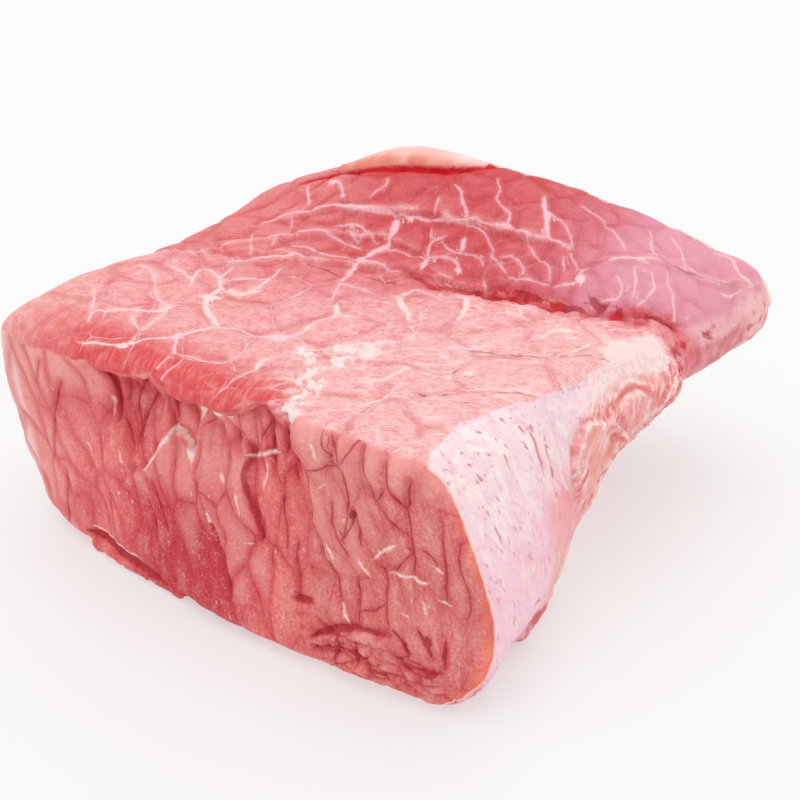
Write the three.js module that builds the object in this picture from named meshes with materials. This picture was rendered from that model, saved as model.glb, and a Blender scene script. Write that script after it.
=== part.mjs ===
// A raw beef joint for roasting, cut as one thick block from the leg. It is one piece of meat, so it is one solid.
//
// The front is a flat cut across the grain. Its upper edge hangs over the cut as a soft lip, and its foot spreads
// on the surface below. The top is level as far as a seam between two muscles, and behind the seam the second
// muscle climbs to a ridge. Its far right end is a thin tail that juts out over an undercut right side. A thick
// layer of fat covers the back, where its free edge is folded up over the ridge.
//
// Millimetres, +Z up. Before the last step x runs from left to right with 0 at the middle of the cut face, y from
// the cut face to the back, and z from the surface that the joint rests on.
import * as THREE from "three";
import { mergeVertices } from "three/addons/utils/BufferGeometryUtils.js";

// Overall sizes
const DEPTH = 172; // cut face to the back
const LEFT_SIDE = 96; // from the middle of the cut face to its left side
const RIGHT_EDGE = 80; // and to the right end of its top edge
const TABLE_TOP = 76; // height of the level part of the top
const RIDGE_RISE = 23; // how far the second muscle climbs above it

// Radii that round the block's edges
const EDGE = { left: 17, right: 8, front: 6, backLeft: 34, backRight: 9, bottom: 9 };
const TOP_EDGE = { front: 6, backLeft: 24, backRight: 13 };

// The cut face
const FOOT_SPREAD = { reach: 9, middle: 16, halfWidth: 76, height: 46 };
const LIP = { depth: 6, left: -66, right: 22, low: 40, high: 74 };
const FACE_LOBE = { depth: 1.2, width: 23, lean: 0.28, low: -6, high: 84 };
const CREASE = { depth: 3.2, x: 31, width: 5, lean: 0.22, low: 34, high: 114 };

// The left and right sides. Shares are of the height.
const LEFT_TAPER = { depth: 15, upTo: 0.62 };
const LEFT_WAIST = { depth: 7, y: 74, length: 26 };
const FLANK_BELLY = { reach: 19, low: -0.22, high: 0.98, length: 126 };
const UNDERCUT = { depth: 64, start: 46, end: 150, low: 0.1, high: 0.84 };
const TAIL = { reach: 27, start: 46, end: 154, drop: 8 };

// The back: it swells in the middle and tucks in at the foot
const BACK_SWELL = { reach: 7, low: -0.15, high: 1.05 };
const BACK_TUCK = { depth: 13, upTo: 0.6 };

// The seam between the two muscles, and the ridge
const SEAM = { y: 101, turn: 0.1, depth: 3.4, width: 5.5, start: -12, full: 48 };
const RIDGE = { foot: 92, crest: 142, left: -96, leftFull: -18, right: 138, rightFull: -14 };
const LEFT_SHOULDER = { rise: 3, y: 84, x: -72, radius: 38 };

// The fat folded up over the ridge
const FAT_FOLD = { rise: 4.5, x: -22, halfLength: 32, y: 143, halfWidth: 9 };

// Grid over the block, fine enough for its smallest rounding
const CELLS = { x: 38, y: 31, z: 17 };
const CROWDING = 0.36; // 0 spaces the grid evenly, more draws its lines to the edges

const mix = THREE.MathUtils.lerp;
const step = THREE.MathUtils.smoothstep;
const clamp = THREE.MathUtils.clamp;
const bell = (value, middle, halfWidth) => Math.exp(-(((value - middle) / halfWidth) ** 2));

// 0 outside low to high, 1 at its middle, rounded like half a sine wave.
function hump(value, low, high) {
  const share = clamp((value - low) / (high - low), 0, 1);
  return Math.sin(Math.PI * share);
}

// Left side at a depth and at a share of the height.
function leftSide(y, share) {
  const taper = LEFT_TAPER.depth * (1 - step(share, 0, LEFT_TAPER.upTo));
  const waist = LEFT_WAIST.depth * bell(y, LEFT_WAIST.y, LEFT_WAIST.length);
  return taper + waist - LEFT_SIDE;
}

// Right side: a belly near the cut face, then an undercut below the tail.
function rightSide(y, share) {
  const tail = TAIL.reach * step(y, TAIL.start, TAIL.end);
  const bellyReach = FLANK_BELLY.reach * (1 - step(y, 0, FLANK_BELLY.length));
  const belly = bellyReach * hump(share, FLANK_BELLY.low, FLANK_BELLY.high);
  const undercutDepth = UNDERCUT.depth * step(y, UNDERCUT.start, UNDERCUT.end);
  const undercut = undercutDepth * (1 - step(share, UNDERCUT.low, UNDERCUT.high));
  return RIGHT_EDGE + tail + belly - undercut;
}

// Height of the top above the rest surface.
function topHeight(x, y) {
  const climb = step(y, RIDGE.foot, RIDGE.crest);
  const along = step(x, RIDGE.left, RIDGE.leftFull) * (1 - step(x, RIDGE.rightFull, RIDGE.right));
  const ridge = RIDGE_RISE * climb * along;
  const seamDepth = SEAM.depth * step(x, SEAM.start, SEAM.full);
  const seam = seamDepth * bell(y, SEAM.y + SEAM.turn * x, SEAM.width);
  const shoulderAcross = bell(x, LEFT_SHOULDER.x, LEFT_SHOULDER.radius);
  const shoulder = LEFT_SHOULDER.rise * shoulderAcross * bell(y, LEFT_SHOULDER.y, LEFT_SHOULDER.radius);
  const foldAcross = Math.sqrt(hump(x, FAT_FOLD.x - FAT_FOLD.halfLength, FAT_FOLD.x + FAT_FOLD.halfLength));
  const fold = FAT_FOLD.rise * foldAcross * bell(y, FAT_FOLD.y, FAT_FOLD.halfWidth);
  const drop = TAIL.drop * step(x, RIGHT_EDGE, RIGHT_EDGE + TAIL.reach);
  return TABLE_TOP + ridge - seam + shoulder + fold - drop;
}

// How far the cut face lies behind the plane y = 0: negative where it comes forward.
function cutFace(x, z) {
  const { middle, halfWidth } = FOOT_SPREAD;
  const foot = Math.sqrt(hump(x, middle - halfWidth, middle + halfWidth));
  const spread = FOOT_SPREAD.reach * foot * (1 - step(z, 0, FOOT_SPREAD.height));
  const underLip = LIP.depth * hump(x, LIP.left, LIP.right) * hump(z, LIP.low, LIP.high);
  const lobeDepth = FACE_LOBE.depth * hump(z, FACE_LOBE.low, FACE_LOBE.high);
  const lobe = lobeDepth * Math.cos((2 * Math.PI * (x + FACE_LOBE.lean * z)) / FACE_LOBE.width);
  const creaseDepth = CREASE.depth * hump(z, CREASE.low, CREASE.high);
  const crease = creaseDepth * bell(x + CREASE.lean * (z - CREASE.low), CREASE.x, CREASE.width);
  return underLip - spread + lobe + crease;
}

// How far the back stands beyond its plane at shares of the width and of the height.
function backFace(across, up) {
  const swell = BACK_SWELL.reach * hump(across, 0, 1) * hump(up, BACK_SWELL.low, BACK_SWELL.high);
  const tuck = BACK_TUCK.depth * (1 - step(up, 0, BACK_TUCK.upTo));
  return swell - tuck;
}

// Draws a grid coordinate from -1 to 1 towards the nearer end.
const crowd = (t) => mix(t, Math.sin((Math.PI / 2) * t), CROWDING);

// Rounds one coordinate's two ends: the part of it outside the inner box, in units of that end's radius.
function pastInner(t, low, high) {
  if (t < low - 1) return (t - low + 1) / low;
  if (t > 1 - high) return (t - 1 + high) / high;
  return 0;
}

// Moves a point of the cube from -1 to 1 onto a block with rounded edges, still from -1 to 1.
function roundEdges(point) {
  const width = (LEFT_SIDE + RIGHT_EDGE) / 2;
  const toRight = step(point.x, -0.6, 0.8);
  const toBack = step(point.y, -0.6, 0.8);
  const back = mix(EDGE.backLeft, EDGE.backRight, toRight);
  const top = mix(TOP_EDGE.front, mix(TOP_EDGE.backLeft, TOP_EDGE.backRight, toRight), toBack);
  const radii = [
    [EDGE.left / width, EDGE.right / width],
    [(2 * EDGE.front) / DEPTH, (2 * back) / DEPTH],
    [(2 * EDGE.bottom) / TABLE_TOP, (2 * top) / TABLE_TOP],
  ];
  const given = point.toArray();
  const past = given.map((t, axis) => pastInner(t, ...radii[axis]));
  const length = Math.hypot(...past);
  const rounded = given.map((t, axis) => {
    const radius = radii[axis][past[axis] < 0 ? 0 : 1];
    return past[axis] === 0 ? t : t - past[axis] * radius * (1 - 1 / length);
  });
  return point.fromArray(rounded);
}

// Moves a point of the rounded block onto the joint.
function shapeJoint(point) {
  const across = (point.x + 1) / 2;
  const along = (point.y + 1) / 2;
  const up = (point.z + 1) / 2;
  const y = along * DEPTH;
  const x = mix(leftSide(y, up), rightSide(y, up), across);
  const z = up * topHeight(x, y);
  const nearCut = (1 - along) ** 3;
  const nearBack = along ** 3;
  return point.set(x, y + nearCut * cutFace(x, z) + nearBack * backFace(across, up), z);
}

function jointGeometry() {
  const block = new THREE.BoxGeometry(2, 2, 2, CELLS.x, CELLS.y, CELLS.z);
  block.deleteAttribute("normal");
  block.deleteAttribute("uv");
  const geometry = mergeVertices(block);
  const position = geometry.getAttribute("position");
  const point = new THREE.Vector3();
  for (let i = 0; i < position.count; i += 1) {
    point.fromBufferAttribute(position, i);
    point.set(crowd(point.x), crowd(point.y), crowd(point.z));
    shapeJoint(roundEdges(point));
    position.setXYZ(i, point.x, point.y, point.z);
  }
  return geometry;
}

// Puts the origin under the middle of the joint, on the surface that it rests on.
function standOnOrigin(geometry) {
  geometry.computeBoundingBox();
  const { min, max } = geometry.boundingBox;
  geometry.translate(-(min.x + max.x) / 2, -(min.y + max.y) / 2, -min.z);
  geometry.computeVertexNormals();
  return geometry;
}

const rawBeef = new THREE.MeshStandardMaterial({ color: 0xd8706c, roughness: 0.45, metalness: 0 });
const joint = new THREE.Mesh(standOnOrigin(jointGeometry()), rawBeef);
joint.name = "beef_joint";

const part = new THREE.Group();
part.add(joint);

export default part;
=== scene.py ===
import math
from contextlib import contextmanager
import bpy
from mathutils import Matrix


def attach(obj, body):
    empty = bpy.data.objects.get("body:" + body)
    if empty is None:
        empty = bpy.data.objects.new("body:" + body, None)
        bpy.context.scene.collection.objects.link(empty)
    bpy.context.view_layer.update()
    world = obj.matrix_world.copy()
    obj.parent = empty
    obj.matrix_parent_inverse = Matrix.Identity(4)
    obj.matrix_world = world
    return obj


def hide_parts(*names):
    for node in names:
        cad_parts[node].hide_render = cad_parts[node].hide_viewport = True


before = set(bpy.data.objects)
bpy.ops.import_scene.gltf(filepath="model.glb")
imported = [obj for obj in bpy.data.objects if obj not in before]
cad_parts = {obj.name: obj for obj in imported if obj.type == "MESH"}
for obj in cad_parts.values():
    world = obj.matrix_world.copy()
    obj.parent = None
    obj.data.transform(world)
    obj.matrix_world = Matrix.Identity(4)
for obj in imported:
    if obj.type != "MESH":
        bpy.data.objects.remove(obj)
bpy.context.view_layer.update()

from types import SimpleNamespace

import bmesh
import bpy
import numpy as np
from mathutils import Matrix, Vector

# Sizes are in millimetres, measured from the middle of the cut face's foot: x to the right along it, y from
# it to the back, z up from the table.
CUT_FOOT = np.array([-5.43, -84.87, 0.0])
MM = 0.001

LEVEL_TOP = 76.0  # height of the level part of the top
MOST_TRIANGLES = 196000
FIRST_VOXEL = 1.1 * MM
FINE_VOXEL = 0.9 * MM

# How far a line is felt, what a point has that no line reaches, and a reach that takes in the whole joint
LINE_REACH = 7.0
NO_LINE = [LINE_REACH, LINE_REACH, 0.0]
WHOLE_REACH = 400.0

# How far the cut face goes in under its lip, and how far the block is filled out or lowered beyond the solid
LIP_DEPTH = 6.0
LIP_ROLL = 2.4
FOOT_SPREAD = 4.2
FLANK_FILL = 4.6
CORNER_LIFT = 5.0
FAR_LEFT_DROP = 3.0
FLAP_LUMPS = 9

# A signed distance for a point that can't be in a zone
NEVER = -9.0

# How often the random lattices repeat, the marks that tell touching cells apart, and how far a cell's seed
# is felt
LATTICE = 32
SMALL_CELLS = 64
CELL_MARKS = 6
FARTHEST_SEED = 60.0

# The three sides that carry detail, and the two measures that give a place on each
PLANES = {"top": (0, 1), "face": (0, 2), "flank": (1, 2)}

# Middles of the muscle cells on the level top, and of the smaller ones on the slope behind the seam
TOP_CELLS = [
    (-68, 10), (-68, 36), (-53, 17), (-41, 25), (-52, 46), (-69, 48), (-64, 62), (-50, 60), (-24, 44),
    (-44, 68), (-31, 7), (-17, 22), (-11, 5), (8, 9), (-46, 2), (-1, 26), (-11, 57), (-37, 80), (-28, 62),
    (-64, 0), (-82, 30), (6, 54), (8, 71), (25, 80), (24, 46), (40, 55), (30, 27), (46, 36), (40, 84),
    (53, 72), (70, 86), (66, 56), (62, 27), (72, 10), (83, 77), (53, 12), (36, 10), (-80, 12), (-82, 62),
    (-84, 90),
]
REAR_CELLS = [
    (-50, 122), (-31, 122), (-14, 129), (9, 134), (24, 142), (42, 143), (-40, 112), (-24, 113), (-7, 121),
    (2, 123), (15, 127), (-38, 103), (-17, 107), (-4, 110), (6, 116), (10, 109), (18, 117), (24, 124),
    (30, 118), (34, 130), (-21, 88), (-10, 98), (0, 102), (13, 104), (24, 110), (32, 110), (39, 119),
    (46, 113), (49, 122), (56, 126), (44, 133), (53, 136), (-6, 84), (11, 94), (26, 100), (45, 106),
    (55, 112), (63, 114), (47, 151), (56, 160), (60, 138), (66, 146), (74, 153), (85, 154), (64, 124),
    (73, 124), (77, 133), (84, 125), (88, 136), (92, 158), (97, 143), (94, 125), (80, 116), (72, 114),
    (104, 148), (88, 113), (80, 103), (-56, 82), (-58, 100), (-60, 70), (-55, 112), (-68, 113), (-72, 96),
    (-60, 134), (-34, 138), (-12, 142), (8, 148), (28, 156), (-80, 120),
]

# Lines on the surface, by side and by half width: pale ones of fat, and dark ones of cracks and gaps. Each
# line is a run of points, as x, y, x, y and so on.
PALE_LINES = {
    "top": {
        0.26: [
            (-77, 52.5, -66, 48.5, -56, 36.5, -50.5, 35, -46.5, 34.5),
            (-66.5, 56.5, -60, 55.5, -53, 52, -50.5, 48.5), (-54, 53, -57, 59.5), (-46.5, 58, -48.5, 67),
            (-62, 12.5, -67.5, 20.5, -79, 32), (-41, 8.5, -43.5, 16.5, -44, 26, -45.5, 31.5),
            (-45, 17, -52.5, 22), (-25, 11.5, -24.5, 5, -25, 2),
            (-25, 11.5, -20, 13, -14.5, 12.5, -7.5, 15.5, -7.5, 22), (-0.5, 4.5, 3, 18, 2.5, 24),
            (-19, 34.5, -11, 33.5), (1, 56.5, 7.5, 63), (5, 33.5, 10, 37, 17.5, 44.5), (9.5, 82, 11.5, 87),
            (28.5, 55.5, 30, 61.5), (44.5, 34.5, 44.5, 26, 41.5, 15.5),
            (-42.5, 54, -33.5, 53.5, -31, 58.5, -32.5, 68.5, -34, 76.5), (-45, 57.5, -32.5, 68.5),
            (-61.5, 93, -56, 86.5, -50, 79), (-48.5, 88.5, -50, 95.5), (-54, 108, -49.5, 102),
            (-14, 80, -6.5, 78.5, 2.5, 79), (-11.5, 78.5, -6.5, 67.5), (-26, 106, -21, 103.5),
            (-21, 108.5, -15, 105), (11, 142.5, 15, 138, 16, 133.5, 19, 131),
            (41.5, 148.5, 47.5, 147.5, 52.5, 145.5), (8, 120, 14.5, 121.5, 19.5, 120, 24.5, 117, 27, 114.5),
            (1.5, 115, 4, 112), (6, 113, 12, 110, 16.5, 111.5, 22.5, 111.5, 26, 109.5),
            (26, 113.5, 30.5, 112.5, 35, 110), (30, 114.5, 35.5, 116, 40, 113, 39.5, 111.5),
            (36, 121, 41, 118, 47, 117, 50, 112.5), (49.5, 121.5, 52, 117.5), (50.5, 124, 56.5, 119.5),
            (36.5, 109, 43, 111, 50, 111.5), (-10.5, 105, -0.5, 104.5, 6, 105.5), (28.5, 105.5, 30.5, 103),
            (11, 81, 11.5, 89, 17.5, 89.5, 22.5, 87.5), (28, 94.5, 33, 87.5, 35.5, 78.5),
            (46.5, 98.5, 50.5, 92), (46.5, 148, 52.5, 145.5, 62, 138, 65, 135),
            (64.5, 155, 68.5, 149.5, 70, 144, 74.5, 139.5), (72.5, 155, 78.5, 150.5, 83.5, 142.5),
            (80.5, 135, 88.5, 123.5, 92, 120), (71, 130.5, 74.5, 125, 77, 118),
            (68.5, 123.5, 72.5, 118.5, 73, 115, 68, 113.5), (77, 130.5, 82, 124.5, 81, 119.5, 80, 115.5),
            (94, 124, 97, 127, 99.5, 128), (78.5, 99, 83.5, 103, 85.5, 110.5), (61, 79, 64, 83, 64, 87),
            (51.5, 68, 54, 71.5), (60, 40.5, 68.5, 45, 79, 54),
            (-27.5, 120.5, -26, 123.5, -24, 125, -26, 128.5), (41, 135, 46, 131.5, 50, 126.5),
        ],
        0.44: [
            (-56.5, 63, -46.5, 58, -41.5, 53, -34, 51.5, -29.5, 58), (-66, 18, -55, 25, -47.5, 30, -47, 36),
            (-61, 2.5, -55.5, 4, -43, 7, -41, 8.5, -38.5, 15, -31, 20, -29, 26.5, -24.5, 32.5, -19, 34.5),
            (-11, 33.5, -4, 37, 0.5, 43, -1.5, 51.5, 1, 56.5), (-31, 20, -25, 11.5),
            (2.5, 14.5, 1.5, 21.5, 3, 24), (44, 61, 52.5, 66), (34, 27.5, 37.5, 31, 39, 36.5, 40, 43),
            (-60.5, 126, -52, 115.5), (-50.5, 127.5, -45, 126, -39.5, 120),
            (-66, 100, -61.5, 105.5, -53.5, 110.5, -41, 114, -29.5, 115.5, -15.5, 116.5),
            (-62.5, 77, -60.5, 86, -55, 90.5, -50, 95.5, -44.5, 100, -35.5, 103.5, -28.5, 102, -19, 101),
            (-33.5, 107, -28, 109, -22, 109, -21, 105),
            (-41.5, 90.5, -32.5, 93.5, -27, 91, -18.5, 95, 0.5, 96.5), (-53.5, 70.5, -41.5, 80, -31, 87),
            (0.5, 132, 4, 130.5, 6, 127.5, 10, 124.5, 11.5, 123), (-2.5, 125.5, -1, 123.5, -0.5, 120.5),
            (19, 131, 23, 130, 25, 128, 26, 124.5), (34.5, 137, 41, 135),
            (-15.5, 116.5, -8.5, 117.5, -1.5, 118, 8, 120.5, 13.5, 122.5, 20, 122.5),
            (21, 123, 27.5, 124, 34.5, 125, 35, 123), (36.5, 124.5, 40.5, 126.5, 46, 125.5, 50, 126),
            (7.5, 114.5, 4, 111.5, 4, 108.5, 6.5, 105.5), (6, 105.5, 12, 108, 16, 108, 18.5, 106.5),
            (52, 111.5, 58.5, 115, 57, 120, 59, 122), (42, 97, 46.5, 98.5, 50.5, 97.5),
            (63, 127.5, 66.5, 132, 70, 133.5, 74, 134.5), (96, 145, 101, 151.5, 104.5, 159.5),
            (86.5, 161.5, 92.5, 161.5, 98, 154.5, 103.5, 158.5), (17.5, 44.5, 23, 49.5, 28.5, 55.5),
            (75.5, 80.5, 78, 86.5),
        ],
        0.9: [
            (-41.5, 53, -41, 45, -35.5, 38.5, -24.5, 32.5), (-3.5, 66, 2, 59),
            (9.5, 82, 15.5, 77, 23.5, 68.5), (29.5, 93.5, 33.5, 86, 36, 77), (63.5, 86.5, 66, 89.5, 70, 91),
            (-11, 109, -10.5, 105, -14.5, 100, -15, 94.5, -12.5, 81.5),
            (30, 142.5, 34, 136.5, 37, 132.5, 41, 126.5), (6.5, 105.5, 6.5, 101), (18.5, 106.5, 19, 104.5),
            (14, 116, 16, 112), (11, 81, 15.5, 75.5, 22, 71), (-35, 115, -28.5, 115.5, -15.5, 117),
        ],
        1.3: [
            (-47.5, 30, -46.5, 34.5), (-42.5, 44.5, -37, 47.5), (-4.5, 34, -2, 37.5), (25, 40.5, 27, 42.5),
            (23, 47, 24.5, 46.5), (39.5, 41.5, 40, 43), (-13.5, 115, -12, 113, -11, 109),
            (56.5, 48.5, 57.5, 50.5), (-8.5, 117.5, -8.5, 116.5), (58, 117.5, 59.5, 115.5),
            (53.5, 44, 53.5, 45), (44.5, 54.5, 44.5, 55.5), (-43, 7, -41, 8.5), (-32, 19.5, -30.5, 21.5),
            (-50, 126.5, -47, 126), (-40, 120, -39, 120),
        ],
    },
    "face": {
        0.2: [
            (-3.5, 33, -0.5, 31, 2.5, 29.5), (7.5, 42.5, 9.5, 37), (0.5, 46, 2.5, 43.5), (38, 71, 39, 67.5),
            (18, 56, 18, 51, 17, 48), (-41.5, 40.5, -40, 37.5), (-56.5, 38, -55, 36),
            (-48.5, 55.5, -47, 54, -47, 49.5), (40, 58, 42, 60), (79.5, 34.5, 83, 33.5), (75, 33, 76.5, 30),
            (69, 27.5, 71.5, 27), (12, 29, 15, 29), (42.5, 40.5, 45, 36), (53, 19, 49.5, 24),
        ],
        0.4: [
            (57, 39.5, 62, 44.5, 65, 47.5), (52.5, 38.5, 54.5, 36, 56.5, 34),
            (63.5, 37.5, 68.5, 38.5, 72, 40), (72, 40, 73.5, 38.5, 75.5, 39), (38.5, 40.5, 41.5, 38),
            (78, 44.5, 79.5, 43.5), (-53, 9, -46, 8.6, -38, 7.6, -30, 6.4), (8, 54, 17, 58.5, 20, 59.5),
        ],
        0.8: [
            (-22.5, 52.5, -16.5, 48, -13, 45.5), (-3.5, 33.5, -1.5, 31), (-11, 63.5, -3, 66, 4, 66.5),
            (31, 66, 34, 57.5, 36, 50, 38, 43),
        ],
        1.2: [(-31.5, 37.5, -29.5, 39, -25.5, 46.5, -22.5, 52.5), (24, 75, 28, 70.5, 31, 66)],
        1.7: [(-12, 45, -13, 48.5, -14.5, 54.5, -10.5, 64)],
    },
    "flank": {
        0.4: [(51, 57.5, 49.5, 52), (49, 61.5, 51, 57.5), (12.5, 34, 16.5, 40.5, 18, 49.5)],
        0.7: [(43, 67.5, 44, 61.5, 44.5, 54.5), (49.5, 63.5, 51, 57.5, 49.5, 52, 53, 45.5)],
    },
}
DARK_LINES = {
    "top": {
        0.16: [
            (74.5, 139.5, 79.5, 138.5, 85, 139.5, 90, 144.5, 97, 151), (48.5, 153, 53, 154.5),
            (69, 44, 78, 51.5), (-27, 84, -15, 83.5), (-39, 116.5, -30.5, 117),
            (45, 62, 55.5, 64.5, 66, 70, 76.5, 76.5, 83, 83, 86, 86), (0, 92, 4.5, 89.5),
        ],
        0.42: [
            (83.5, 115, 91.5, 117.5, 96.5, 120.5, 100, 125), (-6, 88, -1.5, 89, 4.5, 89.5),
            (35.5, 103, 40, 103), (57.5, 34.5, 58.5, 36), (65, 34, 66, 35.5), (52, 47.5, 52.5, 49.5),
            (51.5, 31.5, 53.5, 32),
        ],
        1.0: [
            (6.5, 96.5, 12, 95.5, 16.5, 94.5), (16.5, 97.5, 23.5, 98.5, 30, 101.5),
            (41, 106.5, 45.5, 106.5, 49.5, 106.5), (53, 107, 60.5, 107, 65.5, 108),
            (65, 112, 69, 111, 70.5, 112.5), (74.5, 112.5, 75.5, 112),
        ],
    },
    "face": {
        0.12: [
            (47.5, 42.5, 49.5, 47.5, 51, 52.5), (44, 54.5, 44, 46, 47, 41.5, 50, 38),
            (47, 42.5, 51.5, 51.5), (52, 52, 53.5, 42.5), (55, 63, 59, 59.5, 61, 64),
            (59.5, 59.5, 63, 54, 69.5, 52), (63.5, 64.5, 69, 60.5), (69, 60.5, 70, 52, 70.5, 49, 72, 40),
            (69, 70, 69, 60.5), (79.5, 60, 81, 42.5, 81.5, 34), (85.5, 57, 86, 45.5, 89.5, 41.5, 89, 32),
            (73.5, 49, 76.5, 47.5, 78, 45.5), (65, 39, 70, 46.5), (59, 38.5, 62, 35.5, 63, 27, 66, 20.5),
            (53.5, 31.5, 56, 20.5), (39, 35.5, 46, 33, 48.5, 26), (56.5, 23.5, 60, 24.5, 63, 27.5),
            (31, 35.5, 31.5, 29.5, 35, 21), (40, 36, 47, 30.5, 50, 22.5), (24.5, 48, 26, 41, 28, 32.5),
            (17.5, 70, 12.5, 59.5), (16.5, 69, 17.5, 62.5, 18, 58.5), (21, 67, 23, 60),
            (35.5, 61.5, 42.5, 65.5, 46.5, 67.5), (39.5, 75, 43.5, 67.5, 47.5, 66), (42.5, 74.5, 47, 67.5),
            (47, 67.5, 50.5, 73.5, 52.5, 75.5), (52.5, 75.5, 55.5, 68.5, 59, 59.5), (62, 72.5, 63, 65),
            (47.5, 66, 49.5, 56, 47.5, 42.5), (-43, 50, -38, 44.5, -36.5, 41.5),
            (-65.5, 58.5, -69.5, 43, -72.5, 27.5), (-34.5, 67.5, -42, 56.5, -35, 45),
            (-72.5, 64, -75.5, 56), (-28, 28, -22, 17, -17.5, 12), (-45.5, 22, -40.5, 9.5),
            (-65, 25.5, -67, 3),
        ],
        0.28: [
            (-34.5, 59, -36.5, 51, -36.5, 46), (-23, 67, -24, 61, -22.5, 55.5),
            (7.5, 56, 9, 53.5, 9.5, 45, 11, 42.5, 16, 36.5, 17.5, 31.5),
            (-8, 40, -4, 36.5, 2, 30, 10, 18, 11.5, 12.5), (-26.5, 35.5, -23, 28.5, -17.5, 22.5),
            (53.5, 18.5, 60, 19, 65.5, 19), (42.5, 7.5, 53, 12.5, 61.5, 10), (61, 9, 68, 6.5),
            (67, 21, 70, 20.5, 73, 16.5), (75, 24.5, 78, 21.5, 80.5, 18.5),
            (-51.5, 67, -48, 61, -44.5, 49.5), (50.5, 4.5, 51.5, 12, 50.5, 16), (57, 14, 58, 8.5),
            (61, 10, 63.5, 5.5), (69, 14.5, 73.5, 13.5, 77, 13.5, 82, 13.5), (83, 23, 84.5, 16.5),
        ],
        0.7: [
            (24, 74, 26.5, 71, 29, 66, 34, 64, 35.5, 57.5, 36.5, 51, 37, 44.5), (37, 44.5, 41.5, 37),
            (42, 11.5, 49, 16, 55, 18), (51, 53.5, 50.5, 51), (78, 23, 79, 20.5), (71, 19, 72, 18.5),
            (72, 13.5, 75, 12.5), (80, 12.5, 82.5, 13.5), (34, 20, 39, 20.5),
            (-56, 6.5, -47, 6.6, -38, 5.8, -28, 4.8, -18, 3.6),
        ],
    },
    "flank": {
        0.28: [
            (42, 69.5, 42.5, 62.5, 42.5, 56), (47, 62.5, 47.5, 56, 47, 52.5),
            (109.5, 68.5, 104.5, 63.5, 101, 54.5), (28, 72.5, 27, 69.5, 26.5, 66), (11, 56.5, 12, 52.5),
        ],
        0.7: [
            (80, 49.5, 77.5, 47), (72, 45, 74, 39.5), (24, 24.5, 29, 22.5), (113, 68, 115, 65.5),
            (128.5, 68, 132.5, 65), (110, 62.5, 111.5, 60.5),
        ],
    },
}

# Steps in the surface: height, how far it takes to die away, and a line with the raised side on its left
LEDGES = {
    "face": [
        (2.4, 13, (8, 68, 4, 67, -2, 66.5, -10.5, 63, -13, 52, -13, 46, -17, 48, -22, 52.5, -26, 46,
         -29, 39, -34, 36, -42, 28)),
        (2.8, 15, (23, 77, 26.5, 71, 29, 66, 34, 62, 35.5, 57, 36.5, 51, 37, 44, 41.5, 37, 43, 30)),
        (2.0, 9, (17.5, 31, 16, 36.5, 11, 42.5, 9.5, 45, 9, 53.5, 7, 58)),
        (2.2, 10, (-8, 42, -4, 36.5, 2, 30, 10, 18, 12, 10)),
        (1.6, 7, (68, 19, 60, 19, 55, 18, 49, 16, 42, 12)),
    ],
    "top": [
        (1.5, 9, (-66, 102, -53, 109, -33, 114.5, -14, 117, 5, 120, 24, 122, 37, 123, 48, 126)),
        (1.3, 8, (-62, 78, -50, 92, -40, 100, -26, 105, -12, 107, 4, 106)),
        (1.3, 7, (-46, 72, -32, 84, -20, 90, -6, 95.5, 8, 98, 24, 101)),
        (1.1, 8, (56, 123, 71, 133, 84, 139, 95, 148, 104, 160)),
        (1.0, 6, (-70, 66, -56, 78, -42, 84, -26, 82)),
    ],
    "flank": [
        (3.2, 15, (60, 36, 64, 41, 71, 46, 78, 50, 81, 54, 76, 58.5, 67, 62, 61, 60, 58, 52, 58, 43,
         60, 36)),
        (2.8, 12, (82, 49, 88, 54, 92, 60, 89, 64, 80, 63, 73, 60, 76, 55, 82, 49)),
        (2.2, 7, (88, 50, 95, 58, 100, 66, 98, 70)),
        (1.8, 6, (97, 62, 92, 66, 84, 67.5, 77, 66)),
        (1.6, 6, (94, 50, 101, 58, 106, 66)),
        (1.4, 5, (56, 66, 54, 60, 52, 50, 54, 40)),
    ],
}
# The seam and the fold's gap seen from above
SEAM = (-40, 78, -14, 84, 6, 90, 17, 96, 31, 101, 44, 104, 58, 106, 70, 108, 83, 114, 92, 118, 104, 127)
FOLD_GAP = (
    -80, 121, -70, 128.5, -65, 131, -57, 133, -49, 133.4, -42, 132.4, -33, 132.6, -24, 133, -12, 135,
    -4, 137.5, 2, 142, 8, 150,
)
LIP_EDGE = [
    (-80, 68), (-64, 69), (-52, 72), (-48, 69), (-40, 68), (-26, 73), (-18, 68), (-6, 69), (4, 70), (9, 74),
    (15, 75), (24, 74),
]
SKIN_EDGE = [
    (-8, 88), (2, 75), (8, 72), (15, 71), (24, 70), (38, 74.5), (54, 79), (71, 83), (84, 87), (99, 90),
    (112, 98), (130, 130),
]
# Fat on the top: the half width of each patch and the line along its middle
FAT_PATCHES = [
    (3.8, (26, 2, 24.5, 8, 23, 14, 21.5, 20)), (2.8, (21.5, 20, 18, 26, 13, 30, 6, 34)),
    (2.2, (20, 25, 20.7, 32, 21.4, 39)), (2.6, (16, 40, 21, 41, 26, 45)), (3.4, (85, 90, 89, 98, 91, 107)),
    (3.0, (86, 86, 91, 94, 93, 101)), (1.6, (70, 101, 74, 97.5, 78, 94.5, 83, 91)),
    (0.1, (8, 94, 18, 98, 31, 103, 44, 105.5, 58, 107.5, 70, 109)),
]
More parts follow.
